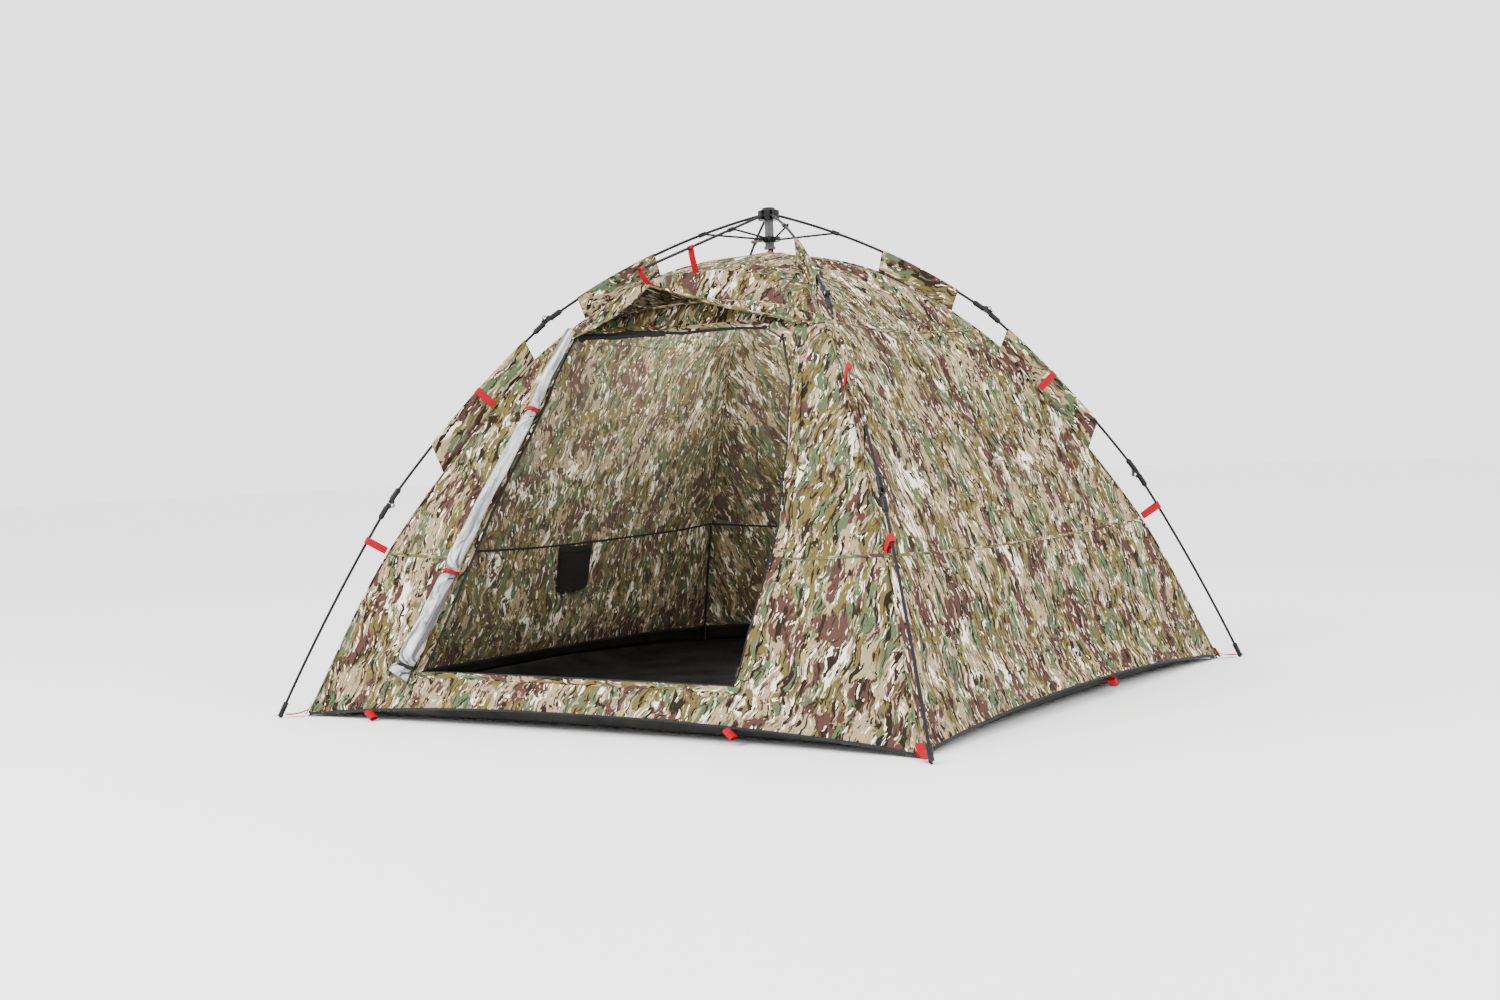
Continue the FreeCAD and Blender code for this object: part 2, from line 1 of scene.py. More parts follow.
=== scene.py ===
"""Looks of the pop-up ground blind: cloth, webbing, door, frame details, materials, light and camera.

Metres throughout, +Z up, the door faces -Y. The folding frame is the CAD's own; every soft CAD solid
is replaced here by a sheet that hangs in the same place.
"""
import bpy
import json
from math import asin, atan2, copysign, cos, exp, hypot, pi, radians, sin, sqrt
from mathutils import Matrix, Vector, noise
from mathutils.geometry import delaunay_2d_cdt

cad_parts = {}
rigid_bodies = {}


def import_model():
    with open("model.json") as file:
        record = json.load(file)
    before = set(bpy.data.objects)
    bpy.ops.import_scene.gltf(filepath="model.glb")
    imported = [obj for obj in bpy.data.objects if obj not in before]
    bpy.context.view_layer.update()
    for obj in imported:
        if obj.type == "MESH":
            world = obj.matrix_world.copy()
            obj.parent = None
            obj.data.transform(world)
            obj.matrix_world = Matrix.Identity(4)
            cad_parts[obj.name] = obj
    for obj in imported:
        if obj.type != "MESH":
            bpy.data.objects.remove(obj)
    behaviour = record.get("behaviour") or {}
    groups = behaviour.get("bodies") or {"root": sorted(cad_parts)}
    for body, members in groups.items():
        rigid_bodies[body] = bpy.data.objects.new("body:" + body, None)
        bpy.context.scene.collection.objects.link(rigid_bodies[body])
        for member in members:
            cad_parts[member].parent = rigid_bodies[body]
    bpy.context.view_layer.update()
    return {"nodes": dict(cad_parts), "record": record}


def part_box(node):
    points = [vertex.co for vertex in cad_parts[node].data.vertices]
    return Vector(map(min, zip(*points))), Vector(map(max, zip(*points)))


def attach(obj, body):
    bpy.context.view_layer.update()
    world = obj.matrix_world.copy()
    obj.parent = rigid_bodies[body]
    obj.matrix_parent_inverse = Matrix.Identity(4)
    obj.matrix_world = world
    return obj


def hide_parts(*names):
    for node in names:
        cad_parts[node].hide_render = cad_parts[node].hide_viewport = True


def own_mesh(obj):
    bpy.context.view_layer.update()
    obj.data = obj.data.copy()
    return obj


for default in list(bpy.data.objects):
    bpy.data.objects.remove(default)

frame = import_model()

# ------------------------ dimensions

# Places in a leg's plane are (reach from the centre, height).
RIDGE = [(1.610, 0.0), (1.330, 0.518), (0.959, 0.991), (0.730, 1.217), (0.369, 1.425), (0.0, 1.482)]
HUB_PIN, ELBOW_ONE, ELBOW_TWO, FOOT = (0.028, 1.622), (0.775, 1.277), (1.320, 0.688), (1.697, 0.009)
# Each pole's two ends and how far it bows outward between them.
BOWS = {"upper": (HUB_PIN, ELBOW_ONE, 0.038), "middle": (ELBOW_ONE, ELBOW_TWO, 0.020),
        "lower": (ELBOW_TWO, FOOT, 0.011)}
PIVOTS = {"upper": (0.78308, 1.28718), "lower": (1.30931, 0.68060)}
BROW_TIP = (0.757, 1.389)
BROW_HEADING = Vector((0, -0.953, -0.305))
# Azimuths in degrees.
LEGS = {"a": -135, "b": -45, "c": 45, "d": 135}
SIDES = {"front": 0, "right": 90, "back": 180, "left": -90}
WRAP_RADIUS = 0.0053
SEAM_HEIGHT = 0.518
DOOR_SILL, DOOR_TOP = 0.142, 1.188
# The hem's rise at the middle of a side, and the share of it that the floor's edge follows.
HEM_LIFT, RIM_LIFT = 0.060, 0.90
CLOTH, THIN_CLOTH = 0.0009, 0.0008
WEBBING, THICK_WEBBING, STRAP_WIDTH = 0.0016, 0.002, 0.024


# ------------------------ mesh helpers

def finish_mesh(obj, material, smooth_angle=40):
    """Give an object its material and smooth shading with sharp edges kept."""
    for polygon in obj.data.polygons:
        polygon.use_smooth = True
    obj.data.set_sharp_from_angle(angle=radians(smooth_angle))
    obj.data.materials.append(material)
    return obj


def make(name, points, faces, material, uvs=None, smooth_angle=40):
    """Mesh object from points and faces, with a UV map in metres of cloth."""
    mesh = bpy.data.meshes.new(name)
    mesh.from_pydata([tuple(p) for p in points], [], faces)
    if uvs:
        layer = mesh.uv_layers.new(name="cloth")
        for loop in mesh.loops:
            layer.data[loop.index].uv = uvs[loop.vertex_index]
    obj = bpy.data.objects.new(name, mesh)
    bpy.context.collection.objects.link(obj)
    return finish_mesh(obj, material, smooth_angle)


def applied(obj):
    """Bake an object's modifiers into its mesh."""
    bpy.context.view_layer.update()
    evaluated = obj.evaluated_get(bpy.context.evaluated_depsgraph_get())
    mesh = bpy.data.meshes.new_from_object(evaluated)
    obj.modifiers.clear()
    obj.data = mesh
    return obj


def thicken(obj, thickness=CLOTH, inner=None):
    """Turn a single layer into a thin closed cloth, with its own material on the inner side."""
    if inner:
        obj.data.materials.append(inner)
    modifier = obj.modifiers.new("thick", "SOLIDIFY")
    modifier.thickness = thickness
    modifier.offset = -1
    if inner:
        modifier.material_offset = 1
    return applied(obj)


def surface(name, rows, columns, place, material, thickness=CLOTH, inner=None, facing=1):
    """Thin cloth through a grid of points: place(i, j) gives a point and its cloth coordinates."""
    points, uvs = zip(*[place(i, j) for i in range(rows) for j in range(columns)])
    faces = [face[::facing] for face in grid_faces(rows, columns)]
    return thicken(make(name, points, faces, material, uvs, 80), thickness, inner)


def sheet_area(obj):
    """One side's area of a thin closed sheet."""
    return sum(polygon.area for polygon in obj.data.polygons) / 2


def grid_faces(rows, columns, closed=False):
    """Quads of a grid of points stored row by row; closed joins the last column to the first."""
    faces = []
    for i in range(rows - 1):
        for j in range(columns if closed else columns - 1):
            k = (j + 1) % columns
            faces.append((i * columns + j, i * columns + k, (i + 1) * columns + k, (i + 1) * columns + j))
    return faces


def tube_faces(rows, segments):
    """Quads of a closed tube and a flat cap at each end."""
    last = (rows - 1) * segments
    caps = [tuple(range(segments - 1, -1, -1)), tuple(range(last, last + segments))]
    return grid_faces(rows, segments, closed=True) + caps


def turned(azimuth, size=3):
    """Turn about the vertical axis by an azimuth in degrees."""
    return Matrix.Rotation(radians(azimuth), size, "Z")


def on_leg(azimuth, reach, height):
    """Point of a leg's plane."""
    return turned(azimuth) @ Vector((reach, 0, height))


def wander(x, y, z):
    """Smooth noise between -1 and 1 at a place."""
    return noise.noise(Vector((x, y, z)))


def unit(*parts):
    return Vector(parts).normalized()


def steps(first, last, count):
    return [first + (last - first) * i / (count - 1) for i in range(count)]


def tangents(path, closed=False):
    """Unit direction of a path at each of its points."""
    count = len(path)
    result = []
    for i in range(count):
        before = path[(i - 1) % count] if closed or i else path[0]
        after = path[(i + 1) % count] if closed or i < count - 1 else path[-1]
        result.append((after - before).normalized())
    return result


def lengths(path):
    """Distance along a path at each of its points."""
    total = [0.0]
    for before, after in zip(path, path[1:]):
        total.append(total[-1] + (after - before).length)
    return total


def ribbon(name, path, normals, width, thickness, material, lift=0.0, closed=False):
    """Flat band with rounded edges along a path. normals point away from what it lies on, one for
    each point or one for all."""
    edge = thickness * 0.5
    profile = [(-width / 2, 0), (-width / 2 + edge, thickness), (width / 2 - edge, thickness),
               (width / 2, 0)]
    rows = len(path)
    if isinstance(normals, Vector):
        normals = [normals] * rows
    points, uvs = [], []
    for place, direction, normal, along in zip(path, tangents(path, closed), normals, lengths(path)):
        side = direction.cross(normal).normalized()
        up = side.cross(direction).normalized()
        for across, height in profile:
            points.append(place + side * across + up * (height + lift))
            uvs.append((across, along))
    faces = tube_faces(rows, 4)
    if closed:
        last = (rows - 1) * 4
        faces[-2:] = [(last + j, last + (j + 1) % 4, (j + 1) % 4, j) for j in range(4)]
    return make(name, points, faces, material, uvs)


def ring_round(centre, axis, radius, count):
    """Points of a ring round an axis."""
    side = axis.orthogonal().normalized()
    up = axis.cross(side)
    return [centre + (side * cos(t) + up * sin(t)) * radius
            for t in steps(0, 2 * pi * (count - 1) / count, count)]


def closed_band(name, ring, centre, width, thickness, material):
    """A band of the canopy that closes on itself, its outside turned away from its centre."""
    normals = [(point - centre).normalized() for point in ring]
    return trim(ribbon(name, ring, normals, width, thickness, material, closed=True))


def carried_frames(path):
    """Side and up directions carried along a path without twist."""
    directions = tangents(path)
    side = directions[0].orthogonal().normalized()
    frames = []
    for i, direction in enumerate(directions):
        if i:
            side = directions[i - 1].rotation_difference(direction) @ side
        side = (side - direction * side.dot(direction)).normalized()
        frames.append((side, direction.cross(side)))
    return frames


def tube(name, path, radii, material, segments=16):
    """Closed round tube along a path; radii is one number or one for each point."""
    radii = radii if isinstance(radii, (list, tuple)) else [radii] * len(path)
    points, uvs = [], []
    for place, (side, up), radius, along in zip(path, carried_frames(path), radii, lengths(path)):
        for j in range(segments):
            turn = 2 * pi * j / segments
            points.append(place + side * (radius * cos(turn)) + up * (radius * sin(turn)))
            uvs.append((radius * turn, along))
    return make(name, points, tube_faces(len(path), segments), material, uvs)


def lathe(profile, place, segments=32):
    """Points and faces of a turned shape: profile is (radius, height) pairs along place's +Z."""
    points = []
    for radius, height in profile:
        for j in range(segments):
            turn = 2 * pi * j / segments
            points.append(place @ Vector((radius * cos(turn), radius * sin(turn), height)))
    return points, tube_faces(len(profile), segments)


def gather(name, shapes, material, smooth_angle=35):
    """One object from several (points, faces) shapes."""
    points, faces = [], []
    for some_points, some_faces in shapes:
        start = len(points)
        points += some_points
        faces += [tuple(start + i for i in face) for face in some_faces]
    return make(name, points, faces, material, None, smooth_angle)


# ------------------------ materials

class Nodes:
    """Small helper that builds one procedural material."""

    def __init__(self, name, roughness, sheen=0.0, specular=0.5, metallic=0.0):
        self.material = bpy.data.materials.new(name)
        self.material.use_nodes = True
        self.tree = self.material.node_tree
        self.shader = self.tree.nodes["Principled BSDF"]
        self.shader.inputs["Roughness"].default_value = roughness
        self.shader.inputs["Sheen Weight"].default_value = sheen
        self.shader.inputs["Specular IOR Level"].default_value = specular
        self.shader.inputs["Metallic"].default_value = metallic

    def link(self, source, target):
        self.tree.links.new(source, target)

    def fill(self, socket, value):
        """Link a socket to another one, or set it to a plain value."""
        if isinstance(value, bpy.types.NodeSocket):
            self.link(value, socket)
        else:
            socket.default_value = value

    def add(self, kind, **inputs):
        node = self.tree.nodes.new(kind)
        for key, value in inputs.items():
            self.fill(node.inputs[key.replace("_", " ")], value)
        return node

    def cloth_uv(self, turn=0.0):
        """Cloth coordinates in metres."""
        uv = self.tree.nodes.new("ShaderNodeUVMap")
        uv.uv_map = "cloth"
        return self.mapped(uv.outputs["UV"], (1, 1, 1), turn)

    def object_space(self):
        return self.tree.nodes.new("ShaderNodeTexCoord").outputs["Object"]

    def mapped(self, vector, scale, turn=0.0, shift=(0, 0, 0)):
        node = self.add("ShaderNodeMapping", Vector=vector, Scale=scale, Location=shift)
        node.inputs["Rotation"].default_value = (0, 0, turn)
        return node.outputs["Vector"]

    def noise(self, vector, scale=1.0, detail=3.0, roughness=0.5, distortion=0.0):
        node = self.add("ShaderNodeTexNoise", Vector=vector, Scale=scale, Detail=detail,
                        Roughness=roughness, Distortion=distortion)
        return node.outputs["Fac"]

    def weave(self, vector, scale):
        """Crossed threads."""
        across = self.add("ShaderNodeTexWave", Vector=vector, Scale=scale)
        along = self.add("ShaderNodeTexWave", Vector=vector, Scale=scale)
        along.bands_direction = "Y"
        return self.math("MULTIPLY", across.outputs["Fac"], along.outputs["Fac"])

    def ramp(self, factor, low, high):
        """0 below low, 1 above high."""
        return self.add("ShaderNodeMapRange", Value=factor, From_Min=low, From_Max=high).outputs["Result"]

    def mix(self, factor, first, second, blend="MIX"):
        node = self.tree.nodes.new("ShaderNodeMix")
        node.data_type = "RGBA"
        node.blend_type = blend
        for socket, value in ((node.inputs[0], factor), (node.inputs[6], first), (node.inputs[7], second)):
            self.fill(socket, value)
        return node.outputs[2]

    def math(self, operation, first, second):
        node = self.tree.nodes.new("ShaderNodeMath")
        node.operation = operation
        for socket, value in zip(node.inputs, (first, second)):
            self.fill(socket, value)
        return node.outputs[0]

    def colour(self, value):
        self.fill(self.shader.inputs["Base Color"], value)

    def bump(self, height, strength, distance, below=None):
        node = self.add("ShaderNodeBump", Height=height, Strength=strength, Distance=distance)
        if below:
            self.link(below, node.inputs["Normal"])
        self.link(node.outputs["Normal"], self.shader.inputs["Normal"])
        return node.outputs["Normal"]


CREAM = (0.84, 0.77, 0.61, 1)
TAN = (0.27, 0.208, 0.118, 1)
OLIVE = (0.098, 0.078, 0.024, 1)
SAGE = (0.058, 0.090, 0.044, 1)
RUSSET = (0.054, 0.023, 0.020, 1)
BARK = (0.006, 0.003, 0.002, 1)


def camouflage(name, faded_print_and_painted_light=0.0, painted_shade=1.0):
    """Printed bark-and-leaf cloth: upright ragged patches under dark and pale streaks.
    Fading the print on the back of the cloth is partly real, as a print is paler on its back, and partly
    painted light for daylight through the thin cloth.
    The darkening multiplies the whole print as painted shade, for cloth that hangs in shade."""
    n = Nodes(name, 0.85, specular=0.04)
    plain = n.cloth_uv(turn=0.16)
    wobble = n.add("ShaderNodeTexNoise", Vector=plain, Scale=7.0, Detail=3.0)
    offset = n.add("ShaderNodeVectorMath", Vector=plain)
    offset.operation = "MULTIPLY_ADD"
    n.link(wobble.outputs["Color"], offset.inputs[0])
    offset.inputs[1].default_value = (0.09, 0.12, 0)
    n.link(plain, offset.inputs[2])
    cloth = offset.outputs["Vector"]

    def field(across, along, shift, detail=3.0, roughness=0.55, distortion=0.0):
        return n.noise(n.mapped(cloth, (across, along, 1), 0, shift), 1.0, detail, roughness, distortion)

    colour = TAN
    for place, low, high, patch in (
        ((13, 4.6, (1, 2, 0)), 0.555, 0.585, CREAM),
        ((10, 3.8, (7, 1, 3)), 0.49, 0.51, OLIVE),
        ((15, 5.8, (3, 9, 5), 4), 0.535, 0.55, SAGE),
        ((10, 4.6, (5, 4, 8), 4), 0.55, 0.565, RUSSET),
        ((55, 15, (2, 6, 1), 2), 0.585, 0.60, TAN),
        ((62, 17, (8, 3, 6), 3, 0.6, 0.5), 0.585, 0.60, RUSSET),
        ((48, 12, (4, 8, 2), 3, 0.6, 0.7), 0.572, 0.587, BARK),
        ((82, 21, (6, 5, 9), 2, 0.6, 0.5), 0.625, 0.64, CREAM),
        ((98, 25, (9, 7, 4), 2, 0.6, 0.5), 0.61, 0.625, BARK),
    ):
        colour = n.mix(n.ramp(field(*place), low, high), colour, patch)
    uneven = n.noise(plain, 3.0, 4.0)
    colour = n.mix(n.math("MULTIPLY", uneven, 0.06), colour, (0.40, 0.34, 0.22, 1))
    # Partly real fading of the back's print, partly painted light for daylight through the thin cloth.
    if faded_print_and_painted_light:
        colour = n.mix(faded_print_and_painted_light, colour, (0.36, 0.33, 0.22, 1))
    # Painted shade: the whole print darkened as a shaded copy of the cloth.
    if painted_shade < 1:
        colour = n.mix(1.0, colour, (painted_shade, painted_shade, painted_shade, 1), "MULTIPLY")
    n.colour(colour)
    creases = n.noise(n.mapped(plain, (9, 6, 1)), 1.0, 5.0, 0.55, 0.8)
    n.bump(n.weave(plain, 520.0), 0.12, 0.0006, n.bump(creases, 0.35, 0.012))
    return n.material


def webbing_material(name, dark, light, roughness=0.6):
    """Woven tape: fine ribs along its length and paler worn threads."""
    n = Nodes(name, roughness, specular=0.08)
    uv = n.cloth_uv()
    ribs = n.add("ShaderNodeTexWave", Vector=n.mapped(uv, (1, 1, 1), 0.785), Scale=260.0, Distortion=1.0)
    wear = n.noise(n.mapped(uv, (160, 40, 1)), 1.0, 4.0)
    n.colour(n.mix(n.math("MULTIPLY", ribs.outputs["Fac"], wear), dark, light))
    n.bump(ribs.outputs["Fac"], 0.4, 0.0008)
    return n.material


def hard_material(name, roughness, specular, tone, dark, light, grain=None, relief=(0.15, 0.0004),
                  metallic=0.0, worn=None):
    """Plastic, rod or metal. tone is the noise between its dark and light colours and grain the noise
    that makes its relief, both as (scale, detail); worn links the roughness to the tone."""
    n = Nodes(name, roughness, specular=specular, metallic=metallic)
    space = n.object_space()
    blotch = n.noise(n.mapped(space, tone[0]), 1.0, tone[1])
    fine = n.noise(n.mapped(space, grain[0]), 1.0, grain[1]) if grain else blotch
    n.colour(n.mix(blotch, (*dark, 1), (*light, 1)))
    if worn:
        n.link(n.ramp(blotch, *worn), n.shader.inputs["Roughness"])
    n.bump(fine, *relief)
    return n.material


def floor_tarpaulin():
    """Black coated floor cloth: laminated weave, soft creases and a little dust."""
    n = Nodes("floor_tarpaulin", 0.8, specular=0.05)
    uv = n.cloth_uv()
    dust = n.noise(uv, 5.0, 6.0, 0.6)
    n.colour(n.mix(n.ramp(dust, 0.35, 0.85), (0.008, 0.008, 0.008, 1), (0.030, 0.028, 0.026, 1)))
    crease = n.bump(n.noise(uv, 6.0, 5.0, 0.6, 1.2), 0.5, 0.012)
    n.bump(n.weave(uv, 160.0), 0.25, 0.001, crease)
    return n.material


def silver_lining():
    """White-silver coated back of the door flap, crumpled, with painted shade in its crumples and folds."""
    n = Nodes("silver_coated_lining", 0.45, sheen=0.1, specular=0.5)
    uv = n.cloth_uv()
    crumple = n.noise(n.mapped(uv, (26, 9, 1)), 1.0, 6.0, 0.6, 1.0)
    folds = n.noise(n.mapped(uv, (30, 1.4, 1), 0, (0, 3, 0)), 1.0, 3.0)
    # Dark grey in the dips of the crumple and fold noises: painted shade in the creases; the coating itself
    # is an even silver-white.
    light = n.math("MINIMUM", n.ramp(crumple, 0.34, 0.60), n.ramp(folds, 0.40, 0.50))
    n.colour(n.mix(light, (0.10, 0.10, 0.11, 1), (0.70, 0.70, 0.71, 1)))
    n.bump(crumple, 1.0, 0.018)
    return n.material


def mesh_net():
    """Black insect mesh: a fine open knit printed as height and tone."""
    n = Nodes("black_insect_mesh", 0.8, specular=0.05)
    uv = n.cloth_uv()
    cells = n.add("ShaderNodeTexVoronoi", Vector=uv, Scale=420.0)
    cells.feature = "DISTANCE_TO_EDGE"
    n.colour(n.mix(n.ramp(cells.outputs["Distance"], 0.05, 0.3), (0.022, 0.020, 0.019, 1),
                   (0.006, 0.006, 0.006, 1)))
    n.bump(cells.outputs["Distance"], 0.5, 0.0008)
    return n.material


def studio_floor():
    n = Nodes("studio_floor", 0.6, specular=0.15)
    tone = n.noise(n.object_space(), 0.6, 2.0)
    n.colour(n.mix(tone, (0.92, 0.92, 0.92, 1), (0.95, 0.95, 0.95, 1)))
    return n.material


CAMO = camouflage("camouflage_outside")
# Back of the cloth: faded print, partly painted light for daylight through it.
CAMO_BACK = camouflage("camouflage_back", faded_print_and_painted_light=0.10)
# Darkened copy of the print for the awning's underside: painted shade.
CAMO_PAINTED_SHADE = camouflage("camouflage_awning_painted_shade", painted_shade=0.34)
RED = webbing_material("red_webbing", (0.24, 0.001, 0.006, 1), (0.52, 0.005, 0.022, 1))
BLACK_TAPE = webbing_material("black_tape", (0.008, 0.008, 0.009, 1), (0.05, 0.05, 0.05, 1))
PLASTIC = hard_material("moulded_nylon", 0.5, 0.10, ((30, 30, 30), 4.0), (0.005, 0.005, 0.006),
                        (0.022, 0.022, 0.024), grain=((900, 900, 900), 2.0), worn=(0.1, 1.6))
ROD = hard_material("fibreglass", 0.5, 0.09, ((220, 220, 12), 4.0), (0.004, 0.004, 0.005),
                    (0.020, 0.020, 0.023), relief=(0.12, 0.0004))
STEEL = hard_material("zinc_plated_steel", 0.3, 0.5, ((400, 400, 60), 3.0), (0.42, 0.42, 0.43),
                      (0.72, 0.72, 0.71), relief=(0.1, 0.0003), metallic=1.0)
SHAFT_GREY = hard_material("grey_moulded_shaft", 0.42, 0.35, ((45, 45, 45), 3.0),
                           (0.025, 0.025, 0.027), (0.07, 0.07, 0.073), grain=((500, 500, 500), 3.0))
TARPAULIN = floor_tarpaulin()
SILVER = silver_lining()
NET = mesh_net()

CAD_FINISHES = {"black_plastic": PLASTIC, "fibreglass_pole": ROD, "steel": STEEL}
for part in frame["record"]["subparts"]:
    if part["material_slot"] in CAD_FINISHES:
        node = frame["nodes"][part["node"]]
        node.data.materials.clear()
        node.data.materials.append(CAD_FINISHES[part["material_slot"]])
frame["nodes"]["hub_shaft"].data.materials[0] = SHAFT_GREY


# ------------------------ shape of the canopy

def through(points, share, mirrored=False):
    """Catmull-Rom curve through 2-D points, share from 0 to 1 by point number; mirrored carries it on
    over the top as its own mirror image."""
    place = share * (len(points) - 1)
    i = min(int(place), len(points) - 2)
    t = place - i
    first = points[i - 1] if i else (2 * points[0][0] - points[1][0], 2 * points[0][1] - points[1][1])
    last = (2 * points[-1][0] - points[-2][0], 2 * points[-1][1] - points[-2][1])
    if i + 2 < len(points):
        last = points[i + 2]
    elif mirrored:
        last = (-points[-2][0], points[-2][1])
    quad = (first, points[i], points[i + 1], last)
    weights = (-t**3 + 2 * t**2 - t, 3 * t**3 - 5 * t**2 + 2, -3 * t**3 + 4 * t**2 + t, t**3 - t**2)
    return tuple(sum(w * p[axis] for w, p in zip(weights, quad)) / 2 for axis in (0, 1))


RIDGE_LINE = [through(RIDGE, i / 200, mirrored=True) for i in range(201)]
RIDGE_ALONG = lengths([Vector((r, 0, z)) for r, z in RIDGE_LINE])


def between(value, keys, values):
    """Straight-line interpolation of values at a key."""
    if value <= keys[0]:
        return values[0]
    for i in range(1, len(keys)):
        if value <= keys[i]:
            share = (value - keys[i - 1]) / (keys[i] - keys[i - 1])
            return values[i - 1] + share * (values[i] - values[i - 1])
    return values[-1]


RIDGE_REACHES = [r for r, _ in RIDGE_LINE]
RIDGE_HEIGHTS = [z for _, z in RIDGE_LINE]


def ridge_at(along):
    """Reach and height of the corner ridge at a distance along it from the ground."""
    return (between(along, RIDGE_ALONG, RIDGE_REACHES), between(along, RIDGE_ALONG, RIDGE_HEIGHTS))


def along_at(height):
    """Distance along the ridge at a height."""
    return between(height, RIDGE_HEIGHTS, RIDGE_ALONG)


WALL_END = along_at(RIDGE[3][1])
ROOF_END = RIDGE_ALONG[-1]
SEAM_ALONG = along_at(SEAM_HEIGHT)
TIES = [along_at(height) for height in (0.03, 0.525, 0.99)]


def half_width(along):
    return ridge_at(along)[0] / sqrt(2)


def folds(x, along, side_seed):
    """Height of the cloth's soft folds: broad waves and creases that run out from each tie."""
    broad = wander(x * 1.6, along * 1.5, side_seed * 5.3)
    fine = wander(x * 7.0, along * 3.2, side_seed * 3.1 + 9)
    height = 0.007 * broad + 0.0022 * fine
    edge = half_width(along)
    for corner in (-1, 1):
        for i, tie in enumerate(TIES):
            across, rise = corner * edge - x, along - tie
            distance = hypot(across, rise)
            angle = atan2(rise, abs(across) + 1e-6)
            fade = exp(-distance / 0.26) * min(1.0, distance / 0.04)
            wave = sin(angle * 8 + side_seed * 2 + i + 1.5 * broad)
            height += (0.0075 if i == 0 else 0.0045) * wave * fade
    return height


def front_pull(share, reach):
    """How far the awning pole's hanger lifts the front of the roof, and the wall under it."""
    span = 1 - abs(share) ** 2.2
    return span * between(reach, (0.0, 0.35, 0.63, 0.73, 1.02), (0.0, 0.060, 0.165, 0.110, 0.0))


def wall_point(x, along, side="front", lift=0.0):
    """Point of a wall's cloth, laid out on the front side and turned to its own side."""
    reach, height = ridge_at(along)
    edge = reach / sqrt(2)
    share = max(-1.0, min(1.0, x / edge)) if edge else 0.0
    open_span = 1 - share * share
    hollow = 0.030 * open_span * min(1.0, along / 0.25) + 0.016 * open_span
    fade = min(1.0, open_span * 8)
    out = folds(x, along, list(SIDES).index(side) + 1) * fade - hollow + lift
    low = max(0.0, 1 - along / 0.45)
    rise = HEM_LIFT * open_span**0.8 * low * low
    if side == "front":
        rise += front_pull(share, reach)
    point = Vector((x, -edge - out * 0.86, height + rise + out * 0.5))
    return turned(SIDES[side]) @ point


def wall_normal(x, along, side="front"):
    """Outward unit normal of the wall's cloth."""
    step = 0.004
    across = wall_point(x + step, along, side) - wall_point(x - step, along, side)
    up = wall_point(x, along + step, side) - wall_point(x, max(0, along - step), side)
    return across.cross(up).normalized()


def door_outline(spacing=0.02):
    """The doorway's edge as (x, distance along the cloth), anticlockwise from the sill's left end."""
    sill, top = along_at(DOOR_SILL), along_at(DOOR_TOP)
    right = [(0.505, sill), (0.515, along_at(0.313)), (0.548, along_at(0.504)), (0.551, along_at(0.62)),
             (0.512, along_at(0.846)), (0.466, along_at(1.026)), (0.40, top - 0.08)]
    head = [(0.40, top - 0.08), (0.33, top - 0.045), (0.0, top - 0.058), (-0.30, top - 0.022),
            (-0.45, top + 0.022)]
    left = [(-0.45, top + 0.022), (-0.488, along_at(0.98)), (-0.545, along_at(0.76)), (-0.60, along_at(0.49)),
            (-0.652, along_at(0.30)), (-0.70, sill)]
    outline = []
    for stretch in ([(-0.70, sill), (0.505, sill)], right, head, left):
        path = [Vector((x, 0, s)) for x, s in stretch]
        total = lengths(path)
        count = max(2, round(total[-1] / spacing))
        for i in range(count):
            at = total[-1] * i / count
            outline.append((between(at, total, [p.x for p in path]), between(at, total, [p.z for p in path])))
    return outline


def inside(point, outline):
    """Whether a 2-D point is inside a closed outline."""
    x, y = point
    crossing = False
    for (ax, ay), (bx, by) in zip(outline, outline[1:] + outline[:1]):
        if (ay > y) != (by > y) and x < ax + (y - ay) / (by - ay) * (bx - ax):
            crossing = not crossing
    return crossing


def wall_cloth(side, hole=None, spacing=0.02):
    """One wall: a single curved sheet, with the doorway cut out where it has one."""
    rows = round(WALL_END / spacing)
    outer_left, outer_right, inner = [], [], []
    for i in range(rows + 1):
        along = WALL_END * i / rows
        edge = half_width(along)
        outer_left.append((-edge, along))
        outer_right.append((edge, along))
        columns = round(2 * edge / spacing)
        inner.append([(edge * (2 * j / columns - 1), along) for j in range(1, columns)])
    outline = inner[0] + outer_right + inner[-1][::-1] + outer_left[::-1]
    free = [point for row in inner[1:-1] for point in row]
    if hole:
        near = spacing * 0.45
        free = [p for p in free if not inside(p, hole)
                and min(hypot(p[0] - q[0], p[1] - q[1]) for q in hole) > near]
    edges = [(i, (i + 1) % len(outline)) for i in range(len(outline))]
    points = outline + (hole or [])
    if hole:
        start = len(outline)
        edges += [(start + i, start + (i + 1) % len(hole)) for i in range(len(hole))]
    points = points + free
    flat, _, triangles, *_ = delaunay_2d_cdt([Vector(p) for p in points], edges, [], 0, 1e-6)
    kept = []
    for triangle in triangles:
        middle = tuple(sum(flat[i][axis] for i in triangle) / 3 for axis in (0, 1))
        if inside(middle, outline) and not (hole and inside(middle, hole)):
            kept.append(tuple(triangle))
    seed = list(SIDES).index(side) * 3.7
    cloth = make(f"wall_{side}_cloth", [wall_point(x, s, side) for x, s in flat], kept, CAMO,
                 [(x + seed, s) for x, s in flat], smooth_angle=80)
    return thicken(cloth, inner=CAMO_BACK)


def soft(obj, width, length, held, *stands_for):
    """A sheet of the canopy: rides on the canopy and hides the CAD solids it stands for."""
    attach(obj, "canopy")
    area = sheet_area(obj)
    length = max(length, area / width)
    if stands_for:
        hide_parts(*stands_for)
    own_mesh(obj)
    return obj


